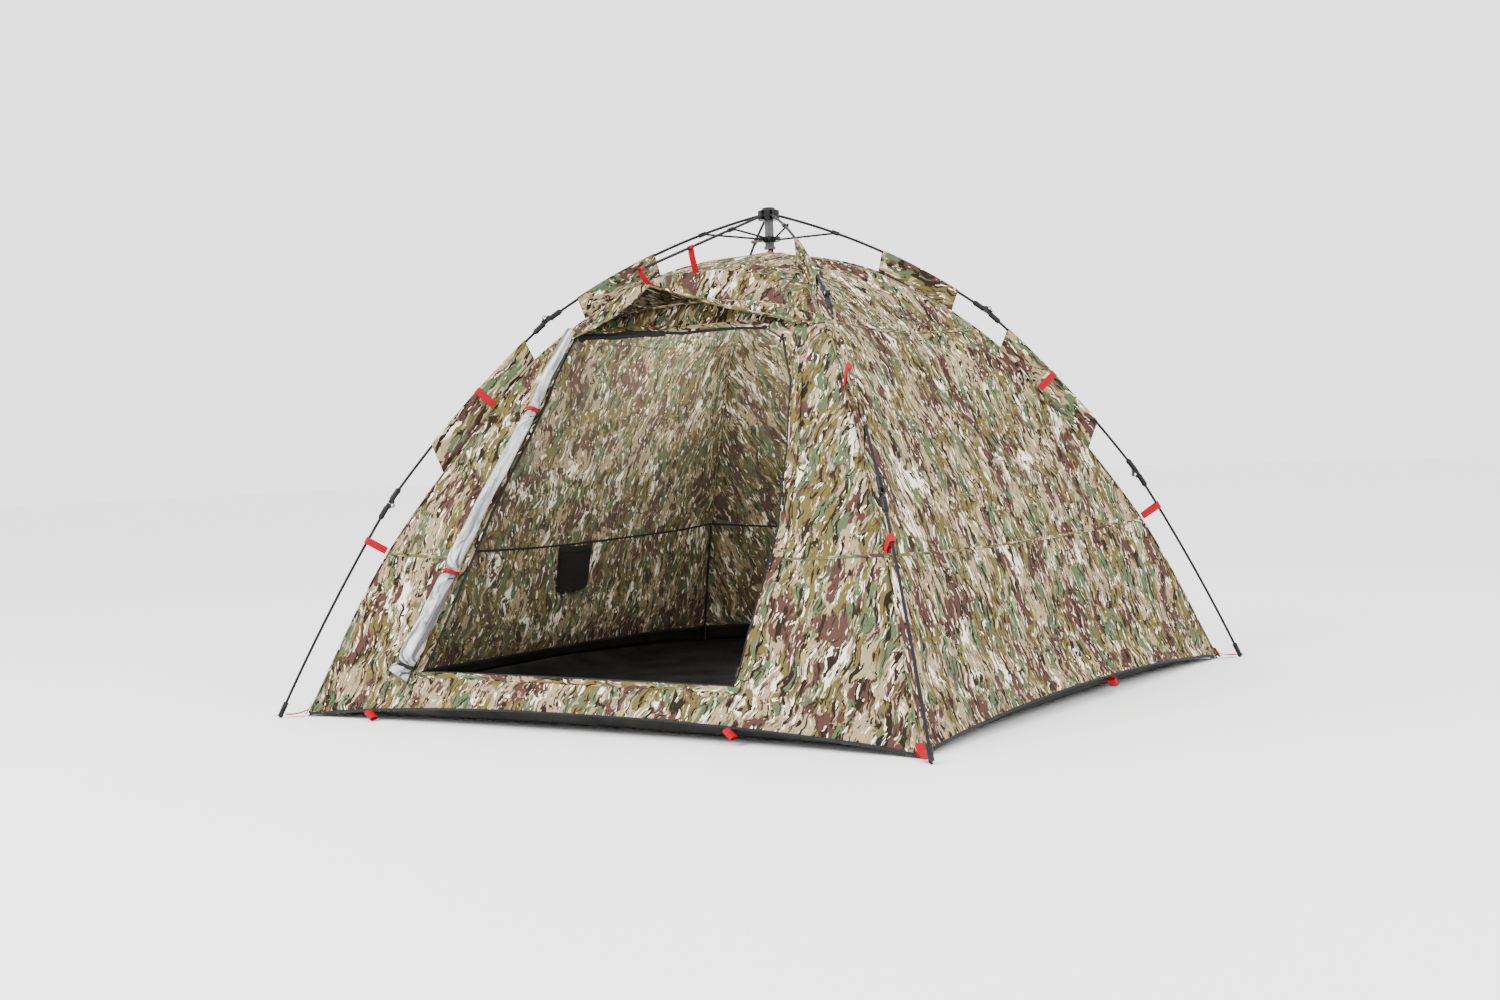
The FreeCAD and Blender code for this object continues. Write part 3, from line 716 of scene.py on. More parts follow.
def trim(obj, *stands_for):
    """A small piece of webbing, tape or binding on the canopy."""
    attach(obj, "canopy")
    if stands_for:
        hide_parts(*stands_for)
    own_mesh(obj)
    return obj


def on_wall(name, route, side, width, thickness, material, lift=0.0006, inner=False):
    """A band that lies on a wall along a route of (x, along) points, outside or inside."""
    path, normals = [], []
    for x, along in route:
        normal = wall_normal(x, along, side) * (-1 if inner else 1)
        path.append(wall_point(x, along, side) + normal * (CLOTH if inner else 0))
        normals.append(normal)
    return ribbon(name, path, normals, width, thickness, material, lift)


def build_walls():
    hole = door_outline()
    for side in SIDES:
        cloth = wall_cloth(side, hole if side == "front" else None)
        width = 2 * half_width(0)
        soft(cloth, width, WALL_END, "stretched", f"wall_{side}")
        reach = half_width(0) - 0.006
        hem = [(x, 0.006) for x in steps(-reach, reach, 90)]
        trim(on_wall(f"hem_{side}", hem, side, 0.010, 0.0016, BLACK_TAPE))
        edge = half_width(SEAM_ALONG) - 0.004
        spans = [(-edge, -0.63), (0.585, edge)] if side == "front" else [(-edge, edge)]
        for i, (first, last) in enumerate(spans):
            seam = [(x, SEAM_ALONG) for x in steps(first, last, 60)]
            trim(on_wall(f"seam_{side}_{i}", seam, side, 0.010, 0.0008, CAMO))
            trim(on_wall(f"seam_tape_{side}_{i}", seam, side, 0.008, 0.0010, BLACK_TAPE, inner=True))


def roof_cloth():
    """The roof: four quarters that meet in soft ridges and rise to the tie under the hub."""
    rows, columns = 46, 40
    points, uvs, gaps = [], [], []
    for i in range(rows):
        along = WALL_END + (ROOF_END - WALL_END) * i / (rows - 1)
        reach, height = ridge_at(along)
        edge = reach / sqrt(2)
        for quarter in range(4):
            turn = turned(90 * quarter)
            for j in range(columns):
                share = 2 * j / columns - 1
                open_span = 1 - share * share
                top = exp(-((reach / 0.10) ** 2))
                wave = wander(share * edge * 5, along * 4, quarter * 3.0)
                settle = -0.046 * open_span * min(1.0, reach / 0.35) + 0.006 * wave * open_span
                pull = front_pull(share, reach) if quarter == 0 else 0.0
                local = Vector((share * edge, -edge - settle * 0.35, height + settle + 0.012 * top + pull))
                if i == 0:
                    seam = wall_point(share * edge, WALL_END, list(SIDES)[quarter])
                    gaps.append(turn.inverted() @ seam - local)
                fade = max(0.0, 1 - i / 9) ** 2
                points.append(turn @ (local + gaps[quarter * columns + j] * fade))
                uvs.append((share * edge + quarter * 3.7, along))
    faces = grid_faces(rows, 4 * columns, closed=True)
    cloth = make("roof_cloth", points, faces, CAMO, uvs, 80)
    thicken(cloth, inner=CAMO_BACK)
    soft(cloth, 1.08, 1.12, "stretched", "roof")


def build_seams():
    """Corner ridges: a piped seam outside and black tape inside; a seam round the roof's edge."""
    for leg, azimuth in LEGS.items():
        line = [ridge_at(s) for s in steps(0.01, ROOF_END - 0.03, 120)]
        path = [on_leg(azimuth, reach + 0.0015, height + 0.001) for reach, height in line]
        trim(tube(f"corner_piping_{leg}", path, 0.0032, CAMO, 10))
        below = round(SEAM_ALONG / ROOF_END * len(line))
        for name, first, last, material in (("tape", 0, below, BLACK_TAPE), ("fold", below, 92, CAMO_BACK)):
            inner = [on_leg(azimuth, reach - 0.005, height - 0.003) for reach, height in line[first:last]]
            inward = on_leg(azimuth, -0.8, -0.5).normalized()
            trim(ribbon(f"corner_{name}_{leg}", inner, inward, 0.007, 0.0012, material))
    for side in SIDES:
        edge = half_width(WALL_END) - 0.004
        seam = [(x, WALL_END - 0.004) for x in steps(-edge, edge, 50)]
        trim(on_wall(f"roof_seam_{side}", seam, side, 0.010, 0.0009, CAMO))


# ------------------------ floor

def build_floor():
    edge = half_width(0) - 0.006
    count = 90
    ticks = steps(-edge, edge, count)

    def floor_at(i, j):
        x, y = ticks[j], ticks[i]
        nearest = min(edge - abs(x), edge - abs(y))
        span = 1 - (min(abs(x), abs(y)) / edge) ** 2
        wave = wander(x * 2.4, y * 2.4, 4.0) + 0.4 * wander(x * 8, y * 8, 1)
        flat = min(1.0, nearest / 0.06)
        rise = RIM_LIFT * HEM_LIFT * span**0.8 * exp(-nearest / 0.045)
        return Vector((x, y, 0.0022 + flat * 0.0035 * (wave + 0.9) + rise)), (x, y)

    cloth = surface("floor_cloth", count, count, floor_at, TARPAULIN)
    soft(cloth, 2 * edge, 2 * edge, "laid", "ground_floor")
    for side in SIDES:
        build_rim(side, edge)


def build_rim(side, edge):
    """The floor's edge, turned up to the wall's hem, and the low tub inside it."""
    turn = turned(SIDES[side])
    rim_columns, tub_columns, rows = 110, 100, 5

    def rim_at(i, j):
        x, row = steps(-edge, edge, rim_columns)[j], i / (rows - 1)
        top = turn.inverted() @ wall_point(x, 0.004, side)
        inset = 0.012 + 0.5 * (edge + top.y)
        wobble = 0.002 * wander(x * 9, row * 2, SIDES[side])
        rise = RIM_LIFT * HEM_LIFT * max(0.0, 1 - (x / edge) ** 2) ** 0.8
        low = Vector((x, -edge + inset + wobble, 0.0015 + rise))
        return turn @ low.lerp(top + Vector((0, 0.003, 0)), row), (x, row * 0.05)

    def tub_at(i, j):
        along = steps(0.004, 0.082, rows)[i]
        reach = half_width(along) - 0.012
        x = steps(-reach, reach, tub_columns)[j]
        return wall_point(x, along, side) - wall_normal(x, along, side) * 0.0035, (x, along)

    trim(surface(f"floor_tub_{side}", rows, tub_columns, tub_at, TARPAULIN, THIN_CLOTH))
    trim(surface(f"floor_rim_{side}", rows, rim_columns, rim_at, TARPAULIN, THIN_CLOTH))


# ------------------------ door

def build_door_edges():
    outline = door_outline(0.014)
    path = [wall_point(x, s) for x, s in outline]
    normals = [wall_normal(x, s) for x, s in outline]
    centre_x, centre_s = -0.05, along_at(0.6)
    binding = []
    for (x, s), normal in zip(outline, normals):
        away = unit(x - centre_x, s - centre_s) * 0.009
        binding.append(wall_point(x + away.x, s + away.y) + normal * 0.0005)
    trim(ribbon("door_binding", binding, normals, 0.020, 0.0014, CAMO, closed=True))
    tape = [point - normal * 0.0035 for point, normal in zip(path, normals)]
    trim(ribbon("door_zip_tape", tape, normals, 0.020, 0.0012, BLACK_TAPE, closed=True))
    right = [(x, s) for x, s in outline if x > 0.3 and s > along_at(DOOR_SILL) + 0.02]
    right.sort(key=lambda point: point[1])
    flap = [(x + 0.022, s + 0.004) for x, s in right]
    trim(on_wall("door_zip_flap", flap, "front", 0.038, 0.0022, CAMO, lift=0.003))
    coil = [wall_point(x - 0.003, s) + wall_normal(x, s) * 0.0015 for x, s in right]
    trim(tube("door_zip_coil", coil, 0.0028, BLACK_TAPE, 8))
    for i, share in enumerate((0.04, 0.93)):
        x, s = right[int(share * (len(right) - 1))]
        build_slider(f"zip_slider_{i}", x - 0.003, s)


def build_slider(name, x, along):
    """Zip slider with a hanging pull."""
    centre, normal = wall_point(x, along), wall_normal(x, along)
    up = (wall_point(x, along + 0.01) - centre).normalized()
    side = up.cross(normal).normalized()
    place = Matrix.Translation(centre + normal * 0.005) @ Matrix((side, up, normal)).transposed().to_4x4()
    shapes = [lathe([(0.001, -0.004), (0.0055, -0.0035), (0.0065, 0.0), (0.0055, 0.0035), (0.001, 0.004)],
                    place @ Matrix.Diagonal((0.8, 1.25, 1.0, 1.0)), 12)]
    pull = place @ Matrix.Translation((0, -0.016, 0.003)) @ Matrix.Diagonal((0.35, 1.0, 0.14, 1.0))
    shapes.append(lathe([(0.002, -0.01), (0.012, -0.009), (0.013, 0.0), (0.012, 0.009), (0.002, 0.01)],
                        pull, 12))
    trim(gather(name, shapes, PLASTIC))


ROLL_LINE = [(-0.748, 0.115), (-0.690, 0.30), (-0.630, 0.50), (-0.566, 0.74), (-0.506, 0.97), (-0.452, 1.20)]
ROLL_RADII = (0.037, 0.017)
FLAP_LENGTH = 1.25
ROLL_TIES = (0.05, 0.37, 0.80)


def roll_centre(share):
    """Centre of the rolled flap from its foot (0) to its head (1), and its radius there."""
    x, height = through(ROLL_LINE, share * 0.9999)
    along = along_at(height)
    radius = ROLL_RADII[0] + (ROLL_RADII[1] - ROLL_RADII[0]) * share
    for tie in ROLL_TIES:
        radius *= 1 - 0.26 * exp(-(((share - tie) / 0.022) ** 2))
    return wall_point(x, along) + wall_normal(x, along) * (radius + 0.004), radius


def build_roll():
    """The door flap rolled up on itself, lining out: a wound sheet, pinched at its ties."""
    stations, turns, per_turn = 120, 2.6, 26
    count = int(turns * per_turn)
    centres, radii = zip(*[roll_centre(i / (stations - 1)) for i in range(stations)])
    points, uvs = [], []
    for i, ((side, up), centre, radius) in enumerate(zip(carried_frames(list(centres)), centres, radii)):
        share = i / (stations - 1)
        across = 0.0
        for j in range(count):
            wind = j / (count - 1)
            turn = 2 * pi * turns * wind + 0.9
            crumple = wander(cos(turn) * 1.5, sin(turn) * 1.5 + wind * 3, share * 9)
            sharp = wander(cos(turn) * 4, sin(turn) * 4, share * 26 + 5)
            size = radius * (0.30 + 0.66 * wind) * (1 + 0.22 * crumple + 0.13 * sharp)
            points.append(centre + side * (size * cos(turn)) + up * (size * sin(turn)))
            uvs.append((across, share * FLAP_LENGTH))
            across += 2 * pi * turns * size / count
    flap = make("door_flap_roll", points, grid_faces(stations, count), SILVER, uvs, 80)
    thicken(flap, THIN_CLOTH, CAMO)
    soft(flap, 2 * pi * turns * ROLL_RADII[0], FLAP_LENGTH, "gathered", "door_roll")
    for i, tie in enumerate(ROLL_TIES):
        build_roll_tie(i, tie)


def build_roll_tie(i, share):
    """A red toggle strap, or black at the foot, round the roll, with a toggle bar."""
    centre, radius = roll_centre(share)
    further, _ = roll_centre(share + 0.01)
    axis = (further - centre).normalized()
    closed_band(f"roll_tie_{i}", ring_round(centre, axis, radius * 0.97 + 0.002, 36), centre, 0.013, 0.0018,
                RED if i else BLACK_TAPE)
    out = unit(0.35, -0.9, 0.1)
    bar = centre + out * (radius + 0.006)
    ends = [bar + axis.cross(out) * t for t in steps(-0.022, 0.022, 9)]
    radii = [0.0025, 0.0045, 0.0045, 0.0035, 0.003, 0.0035, 0.0045, 0.0045, 0.0025]
    trim(tube(f"roll_toggle_{i}", ends, radii, RED if i else PLASTIC, 12))
    start = bar + Vector((0.004, -0.003, 0))
    loop = [start + Vector((0.030 * sin(t) * 1.3, -0.004 * sin(t), -0.012 + 0.012 * cos(t)))
            for t in steps(0, pi * 1.9, 24)]
    trim(tube(f"roll_elastic_{i}", loop, 0.0016, BLACK_TAPE, 8))


def door_head(x):
    """Distance along the cloth of the doorway's top edge at x."""
    outline = sorted(point for point in door_outline() if point[1] > along_at(1.1))
    return between(x, [p[0] for p in outline], [p[1] for p in outline])


def build_mesh_roll():
    """The insect-mesh door, rolled tight under the top of the doorway."""
    path = []
    for x in steps(-0.44, -0.08, 40):
        along = door_head(x) - 0.008 - 0.004 * sin((x + 0.44) * 9)
        path.append(wall_point(x, along) - wall_normal(x, along) * 0.010)
    radii = [0.010 + 0.0025 * wander(p.x * 30, 0, 0) - 0.004 * (i / 39) for i, p in
             enumerate(path)]
    radii[0], radii[1], radii[2] = 0.010, 0.017, 0.015
    trim(tube("mesh_door_roll", path, radii, NET, 18))
    path = [wall_point(x, door_head(x)) + Vector((0, 0.006, 0)) for x in steps(-0.43, 0.33, 60)]
    trim(ribbon("mesh_door_zip", path, unit(0, 1, -0.2), 0.010, 0.0015, BLACK_TAPE))


# ------------------------ awning over the door

BROW_CORNER = Vector((0.495, -0.550, 1.200))
BROW_PEAK = Vector((0.0, -0.700, 1.345))


def brow_edge(share):
    """The awning's free edge: share -1 and 1 at the corners, 0 at the peak."""
    corner = Vector((copysign(BROW_CORNER.x, share), BROW_CORNER.y, BROW_CORNER.z))
    t = abs(share)
    point = BROW_PEAK.lerp(corner, t)
    sag = 0.012 * sin(pi * t)
    ripple = 0.004 * wander(share * 6, 2, 0)
    return point + Vector((0, 0.030 * sin(pi * t), -sag + ripple))


def brow_root(share):
    """Where the awning is sewn on: up the corner ridge, then along the roof's seam."""
    t = abs(share)
    turn_share = 0.12
    sign = copysign(1.0, share)
    if t <= 1 - turn_share:
        x = half_width(WALL_END) * share / (1 - turn_share)
        return wall_point(x, WALL_END - 0.002, lift=0.004)
    climb = (1 - t) / turn_share
    along = along_at(BROW_CORNER.z) + (WALL_END - along_at(BROW_CORNER.z)) * climb
    return wall_point(sign * half_width(along) * 0.999, along, lift=0.004)


def build_brow():
    rows, columns = 26, 121

    def awning_at(i, j):
        reach, share = i / (rows - 1), 2 * j / (columns - 1) - 1
        root, edge = brow_root(share), brow_edge(share)
        point = root.lerp(edge, reach)
        span = (edge - root).length
        belly = 0.10 * span * sin(pi * reach)
        fan = sin(share * 26 + 2 * wander(share * 4, reach, 3))
        pull = 0.0055 * fan * sin(pi * reach) * exp(-abs(share) * 1.6)
        ripple = 0.004 * wander(point.x * 9, reach * 4, 7) * sin(pi * reach)
        place = point + unit(0, -0.3, 1) * (pull + ripple - belly * 0.4)
        return place, (point.x + 17, reach * span + WALL_END)

    # The awning's underside takes the darkened copy of the print: painted shade.
    cloth = surface("brow_cloth", rows, columns, awning_at, CAMO, 0.001, CAMO_PAINTED_SHADE, facing=-1)
    soft(cloth, 1.10, 0.24, "stretched", "brow_awning")
    edge = [brow_edge(share) for share in steps(-1, 1, 121)]
    trim(ribbon("brow_binding", edge, unit(0, -0.5, 0.85), 0.016, 0.003, CAMO, lift=-0.0012))
    start = BROW_PEAK + Vector((0, -0.004, 0.002))
    end = Vector((0, -BROW_TIP[0] + 0.004, BROW_TIP[1] - 0.005))
    path = [start.lerp(end, t) + Vector((0, 0, -0.004 * sin(pi * t))) for t in steps(0, 1, 10)]
    trim(ribbon("brow_tip_strap", path, unit(0, -0.6, 0.8), 0.022, 0.002, RED))
    wrap_pole("brow_tip_loop", Vector((0, -BROW_TIP[0] + 0.012, BROW_TIP[1] + 0.004)), 0.020)


def wrap_pole(name, centre, width):
    """A turn of webbing round the awning's pole."""
    closed_band(name, ring_round(centre, BROW_HEADING, WRAP_RADIUS, 24), centre, width, WEBBING, RED)


# ------------------------ poles' sleeves and straps

class Bow:
    """A bent pole as an arc in its leg's plane."""

    def __init__(self, start, end, sag):
        first, last = Vector((start[0], 0, start[1])), Vector((end[0], 0, end[1]))
        chord = (last - first).length
        self.slope = atan2(start[1] - end[1], end[0] - start[0])
        self.radius = chord**2 / (8 * sag) + sag / 2
        self.centre = (first + last) / 2 - self.outward(self.slope) * (self.radius - sag)

    @staticmethod
    def outward(slope):
        return Vector((sin(slope), 0, cos(slope)))

    def slope_at(self, reach):
        return asin((reach - self.centre.x) / self.radius)

    def at(self, reach, offset=0.0):
        """Point on the pole's axis at a reach, offset outward."""
        return self.centre + self.outward(self.slope_at(reach)) * (self.radius + offset)

    def heading(self, reach):
        slope = self.slope_at(reach)
        return Vector((cos(slope), 0, -sin(slope)))


POLES = {name: Bow(*ends) for name, ends in BOWS.items()}
SLEEVES = [("upper", 0.401, 0.668), ("middle", 0.850, 1.172)]


def ridge_height(reach):
    return between(-reach, [-r for r in RIDGE_REACHES], RIDGE_HEIGHTS)


def build_sleeve(name, bow, first, last, azimuth, seed):
    """A cloth tunnel that hangs the canopy's ridge from a pole: round the pole and down to the ridge."""
    turn = turned(azimuth)
    stations = 26
    points, uvs = [], []
    for i, reach in enumerate(steps(first, last, stations)):
        share = i / (stations - 1)
        pole, out = bow.at(reach), bow.outward(bow.slope_at(reach))
        lean = 0.012 * sin(pi * share)
        foot_reach = reach - out.x * 0.045
        foot = Vector((foot_reach, 0, ridge_height(foot_reach) + 0.001))
        drop = (pole - foot).length
        profile = [(0.0008, drop), (0.0018 + 0.001 * sin(share * 17 + seed), drop * 0.7),
                   (0.0035, drop * 0.4), (0.0062, 0.010)]
        profile += [(0.0068 * cos(t), -0.0068 * sin(t)) for t in steps(0, pi, 9)]
        profile += [(-across, depth) for across, depth in reversed(profile[:4])]
        down = (foot - pole).normalized()
        for k, (across, depth) in enumerate(profile):
            ripple = 0.0028 * wander(share * 7, depth * 26, seed)
            hang = min(1.0, max(0.0, depth / drop))
            place = pole + down * depth + Vector((0, across + ripple * hang + lean * 0.15 * hang, 0))
            points.append(turn @ place)
            uvs.append((seed * 2.3 + depth * (1 if k < 8 else -1), reach * 1.2))
    count = len(profile)
    return thicken(make(name, points, grid_faces(stations, count), CAMO, uvs, 80), THIN_CLOTH)


def build_sleeves():
    stands_for = ["pole_sleeves"]
    for number, (leg, azimuth) in enumerate(LEGS.items()):
        for i, (pole, first, last) in enumerate(SLEEVES):
            name = f"pole_sleeve_{leg}_{i}"
            sleeve = build_sleeve(name, POLES[pole], first, last, azimuth, number * 3 + i + 1.0)
            soft(sleeve, (last - first) * 1.45, 0.14, "folded", *stands_for)
            stands_for = []


STRAP_LOOP, STRAP_DROP = 0.0086, 0.070
STRAPS = (("upper", "middle", 1.013), ("lower", "lower", 1.395))


def strap_round_pole(name, bow, reach, azimuth):
    """A webbing sling: up from the canopy's ridge, over the pole and back down, with a stitched tab."""
    turn = turned(azimuth)
    pole, out = bow.at(reach), bow.outward(bow.slope_at(reach))
    heading = bow.heading(reach)
    across = Vector((0, 1, 0))
    rise = [(0.0035 + (STRAP_LOOP - 0.0040) * t**0.6, STRAP_DROP * (1 - t) + 0.002 * t)
            for t in steps(0, 1, 8)]
    path = [pole - out * below + across * spread for spread, below in rise]
    for t in steps(0.25, pi - 0.25, 10):
        path.append(pole + across * (STRAP_LOOP * cos(t)) + out * (STRAP_LOOP * sin(t)))
    path += [pole - out * below - across * spread for spread, below in reversed(rise)]
    normals = [turn @ heading.cross(direction) for direction in tangents(path)]
    trim(ribbon(name, [turn @ point for point in path], normals, STRAP_WIDTH, 0.0014, RED))


def build_straps():
    for leg, azimuth in LEGS.items():
        for name, pole, reach in STRAPS:
            strap_round_pole(f"pole_strap_{name}_{leg}", POLES[pole], reach, azimuth)
        corner = RIDGE[0][0]
        path = []
        for t in steps(0, 1, 16):
            reach = corner - 0.004 + (FOOT[0] - 0.012 - corner) * t
            path.append(on_leg(azimuth, reach, 0.022 - 0.012 * t - 0.006 * sin(pi * t)))
        trim(ribbon(f"corner_strap_{leg}", path, Vector((0, 0, 1)), 0.025, THICK_WEBBING, RED),
             *(["webbing_straps"] if leg == "a" else []))
        tab = [on_leg(azimuth, corner + 0.005 - 0.5 * t, 0.004 + 0.84 * t) for t in steps(0, 0.040, 6)]
        out = on_leg(azimuth, 0.85, 0.5).normalized()
        trim(ribbon(f"corner_tab_{leg}", tab, out, 0.026, THICK_WEBBING, RED, lift=0.002))
    high = Vector((0, -0.474, HUB_PIN[1] - 0.446 * 0.3196))
    low = Vector((0, -0.446, 1.400))
    path = [high.lerp(low, t) + Vector((0, -0.004 * sin(pi * t), 0)) for t in steps(0, 1, 10)]
    trim(ribbon("roof_hanger", path, unit(0, -0.9, 0.3), STRAP_WIDTH, THICK_WEBBING, RED))
    wrap_pole("roof_hanger_loop", high, STRAP_WIDTH)


def build_hub_tie():
    """Knotted red tie between the shaft's end and the roof's peak, over a black patch."""
    low, high = RIDGE[-1][1] + 0.006, 1.506
    path = []
    for t in steps(0, 1, 40):
        swing = 0.010 * sin(t * 9.4)
        path.append(Vector((swing, 0.008 * cos(t * 9.4), low + (high - low) * (0.5 + 0.5 * sin(t * 9)))))
    trim(tube("hub_tie_knot", path, 0.0035, RED, 10))
    loop = [Vector((0.012 * cos(t), 0.012 * sin(t), low + 0.006)) for t in steps(0, 6.0, 30)]
    trim(tube("hub_tie_loop", loop, 0.003, RED, 10))
    disc = lathe([(0.002, 0.0), (0.030, -0.003), (0.034, -0.006), (0.034, -0.008), (0.002, -0.008)],
                 Matrix.Translation((0, 0, low + 0.004)), 40)
    trim(gather("roof_peak_patch", [disc], BLACK_TAPE))


PEG_LOOPS = {"front": (-0.84, 0.54), "right": (0.15,), "back": (-0.55, 0.55), "left": (-0.15,)}


def build_peg_loops():
    """Red webbing loops along the hem for ground pegs."""
    for side, places in PEG_LOOPS.items():
        for i, x in enumerate(places):
            turn = turned(SIDES[side])
            top = turn.inverted() @ wall_point(x, 0.004, side)
            path = []
            for t in steps(0, 2 * pi * 27 / 28, 28):
                place = Vector((x + 0.005 * sin(t), top.y - 0.018 - 0.0155 * cos(t),
                                max(0.004, top.z - 0.012 + 0.006 * sin(t))))
                path.append(turn @ place)
            closed_band(f"peg_loop_{side}_{i}", path, sum(path, Vector()) / len(path), 0.035, WEBBING, RED)


# ------------------------ pocket

def build_pocket():
    """Hanging mesh pocket on the left wall, with a bound mouth."""
    width, depth = 0.19, 0.185
    rows, columns = 20, 22

    def net_at(i, j):
        across, down = j / (columns - 1), i / (rows - 1)
        along = SEAM_ALONG - 0.012 - depth * down
        x = (across - 0.5) * width * (1 - 0.08 * down) - 0.045 * down
        belly = 0.016 * sin(pi * across) ** 0.7 * (1 - 0.25 * down)
        wave = 0.003 * wander(across * 3, down * 2, 5)
        place = wall_point(x, along, "left")
        return place - wall_normal(x, along, "left") * (0.004 + belly + wave), (x, along)

    net = surface("pocket_net", rows, columns, net_at, NET, THIN_CLOTH, facing=-1)
    soft(net, width * 1.1, depth * 1.05, "hung", "mesh_pocket")
    points = [net_at(i, j)[0] for i in range(rows) for j in range(columns)]
    inward = -wall_normal(0, SEAM_ALONG, "left")
    trim(ribbon("pocket_band", points[:columns], inward, 0.026, 0.002, BLACK_TAPE, lift=0.001))
    for name, edge in (("left", points[::columns]), ("right", points[columns - 1::columns]),
                       ("foot", points[-columns:])):
        trim(ribbon(f"pocket_edge_{name}", edge, inward, 0.010, WEBBING, BLACK_TAPE))


# ------------------------ frame details

def across_leg(point, azimuth, side):
    """Placement on an elbow's cheek, +Z across the leg's plane, at a (reach, height) point of it."""
    turn = turned(azimuth, 4)
    tilt = Matrix.Rotation(radians(-90 * side), 4, "X")
    return turn @ Matrix.Translation((point[0], 0, point[1])) @ tilt @ Matrix.Translation((0, 0, 0.0078))


def along_pole(bow, reach, azimuth):
    """Placement whose +Z runs along a pole."""
    turn = turned(azimuth, 4)
    tilt = bow.heading(reach).to_track_quat("Z", "Y").to_matrix().to_4x4()
    return turn @ Matrix.Translation(bow.at(reach)) @ tilt


def band_profile(radius, height):
    """Profile of a raised rounded band round a sleeve."""
    inner = radius - 0.001
    return [(inner, -height / 2), (radius + 0.0007, -height / 2 + 0.0006),
            (radius + 0.0011, 0), (radius + 0.0007, height / 2 - 0.0006), (inner, height / 2)]


def bands_on(bow, reach, sign, azimuth, radius, places):
    """Raised bands round a pole: places are (distance from a reach, band's height) pairs."""
    step = sign * bow.heading(reach).x
    return [lathe(band_profile(radius, height), along_pole(bow, reach + distance * step, azimuth), 28)
            for distance, height in places]


RIVET = [(0.0001, 0.0), (0.0048, 0.0), (0.0048, 0.0007), (0.0038, 0.0016), (0.0022, 0.0021), (0.0001, 0.0022)]


def build_elbows():
    """Steel rivet heads, raised bands and a lock rib on each elbow."""
    for leg, azimuth in LEGS.items():
        for name, point, above, below in (("upper", ELBOW_ONE, "upper", "middle"),
                                          ("lower", ELBOW_TWO, "middle", "lower")):
            heads = [lathe(RIVET, across_leg(PIVOTS[name], azimuth, side), 20) for side in (-1, 1)]
            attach(gather(f"{name}_elbow_rivets_{leg}", heads, STEEL), f"{above}_{leg}")
            for body, bow, sign in ((above, POLES[above], -1), (below, POLES[below], 1)):
                bands = bands_on(bow, point[0], sign, azimuth, 0.009, ((0.020, 0.004), (0.049, 0.006)))
                reach = point[0] + sign * 0.0555 * bow.heading(point[0]).x
                lip = [(0.0046, -0.004), (0.0085, -0.004), (0.0078, 0.001), (0.006, 0.004), (0.0046, 0.0045)]
                if sign < 0:
                    lip = [(radius, -height) for radius, height in reversed(lip)]
                bands.append(lathe(lip, along_pole(bow, reach, azimuth), 28))
                piece = gather(f"{name}_elbow_bands_{body}_{leg}", bands, PLASTIC)
                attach(piece, f"{body}_{leg}")


def build_feet():
    """Steel ground pin, collar and ring at each foot."""
    for leg, azimuth in LEGS.items():
        turn = turned(azimuth, 4)
        place = turn @ Matrix.Translation((FOOT[0], 0, FOOT[1])) @ Matrix.Rotation(radians(90), 4, "Y")
        sleeve = [(0.0026, 0.010), (0.0029, 0.0105), (0.0029, 0.0205), (0.0034, 0.0215), (0.0034, 0.0235),
                  (0.0015, 0.0245)]
        pin = gather(f"ground_pin_{leg}", [lathe(sleeve, place, 20)], STEEL)
        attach(pin, f"lower_{leg}")
        places = [(distance, 0.004) for distance in (0.018, 0.030, 0.041)]
        bands = bands_on(POLES["lower"], FOOT[0], -1, azimuth, 0.008, places)
        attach(gather(f"foot_bands_{leg}", bands, PLASTIC), f"lower_{leg}")


def build_hub_details():
    """Domed cap, ribs on the hub's lugs and the shaft, and the runner's collar."""
    cap_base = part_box("hub_cap")[0][2]
    dome = [(0.0001, 0.00775), (0.009, 0.007564), (0.016, 0.006696), (0.0215, 0.004836),
            (0.0225, 0.003224), (0.0205, 0.0031), (0.0205, 0.00248), (0.0001, 0.00248)]
    top = Matrix.Translation((0, 0, cap_base + 0.0045))
    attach(gather("hub_dome", [lathe(dome, top, 48)], PLASTIC), "hub")
    hub_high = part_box("hub_body")[1][2]
    lowest_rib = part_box("hub_shaft")[0][2] + 0.011
    ribs = [lathe(band_profile(0.0155, 0.003), Matrix.Translation((0, 0, lowest_rib + 0.006 * i)), 40)
            for i in range(3)]
    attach(gather("shaft_ribs", ribs, SHAFT_GREY), "hub")
    lugs = []
    for azimuth in [*LEGS.values(), -90]:
        for sign in (-1, 1):
            turn = turned(azimuth, 4)
            place = (turn @ Matrix.Translation((0.026, sign * 0.0062, hub_high - 0.001))
                     @ Matrix.Rotation(radians(90), 4, "Y"))
            lugs.append(lathe([(0.0001, -0.010), (0.0016, -0.009), (0.0018, 0.0), (0.0016, 0.009),
                               (0.0001, 0.010)], place, 10))
    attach(gather("hub_lug_ribs", lugs, PLASTIC), "hub")
    runner_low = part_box("runner")[0][2]
    collar = [(0.0158, -0.004), (0.0205, -0.004), (0.0215, -0.0015), (0.0205, 0.0), (0.0158, 0.0)]
    ring = lathe(collar, Matrix.Translation((0, 0, runner_low)), 40)
    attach(gather("runner_collar", [ring], PLASTIC), "runner")


# ------------------------ light, floor and camera

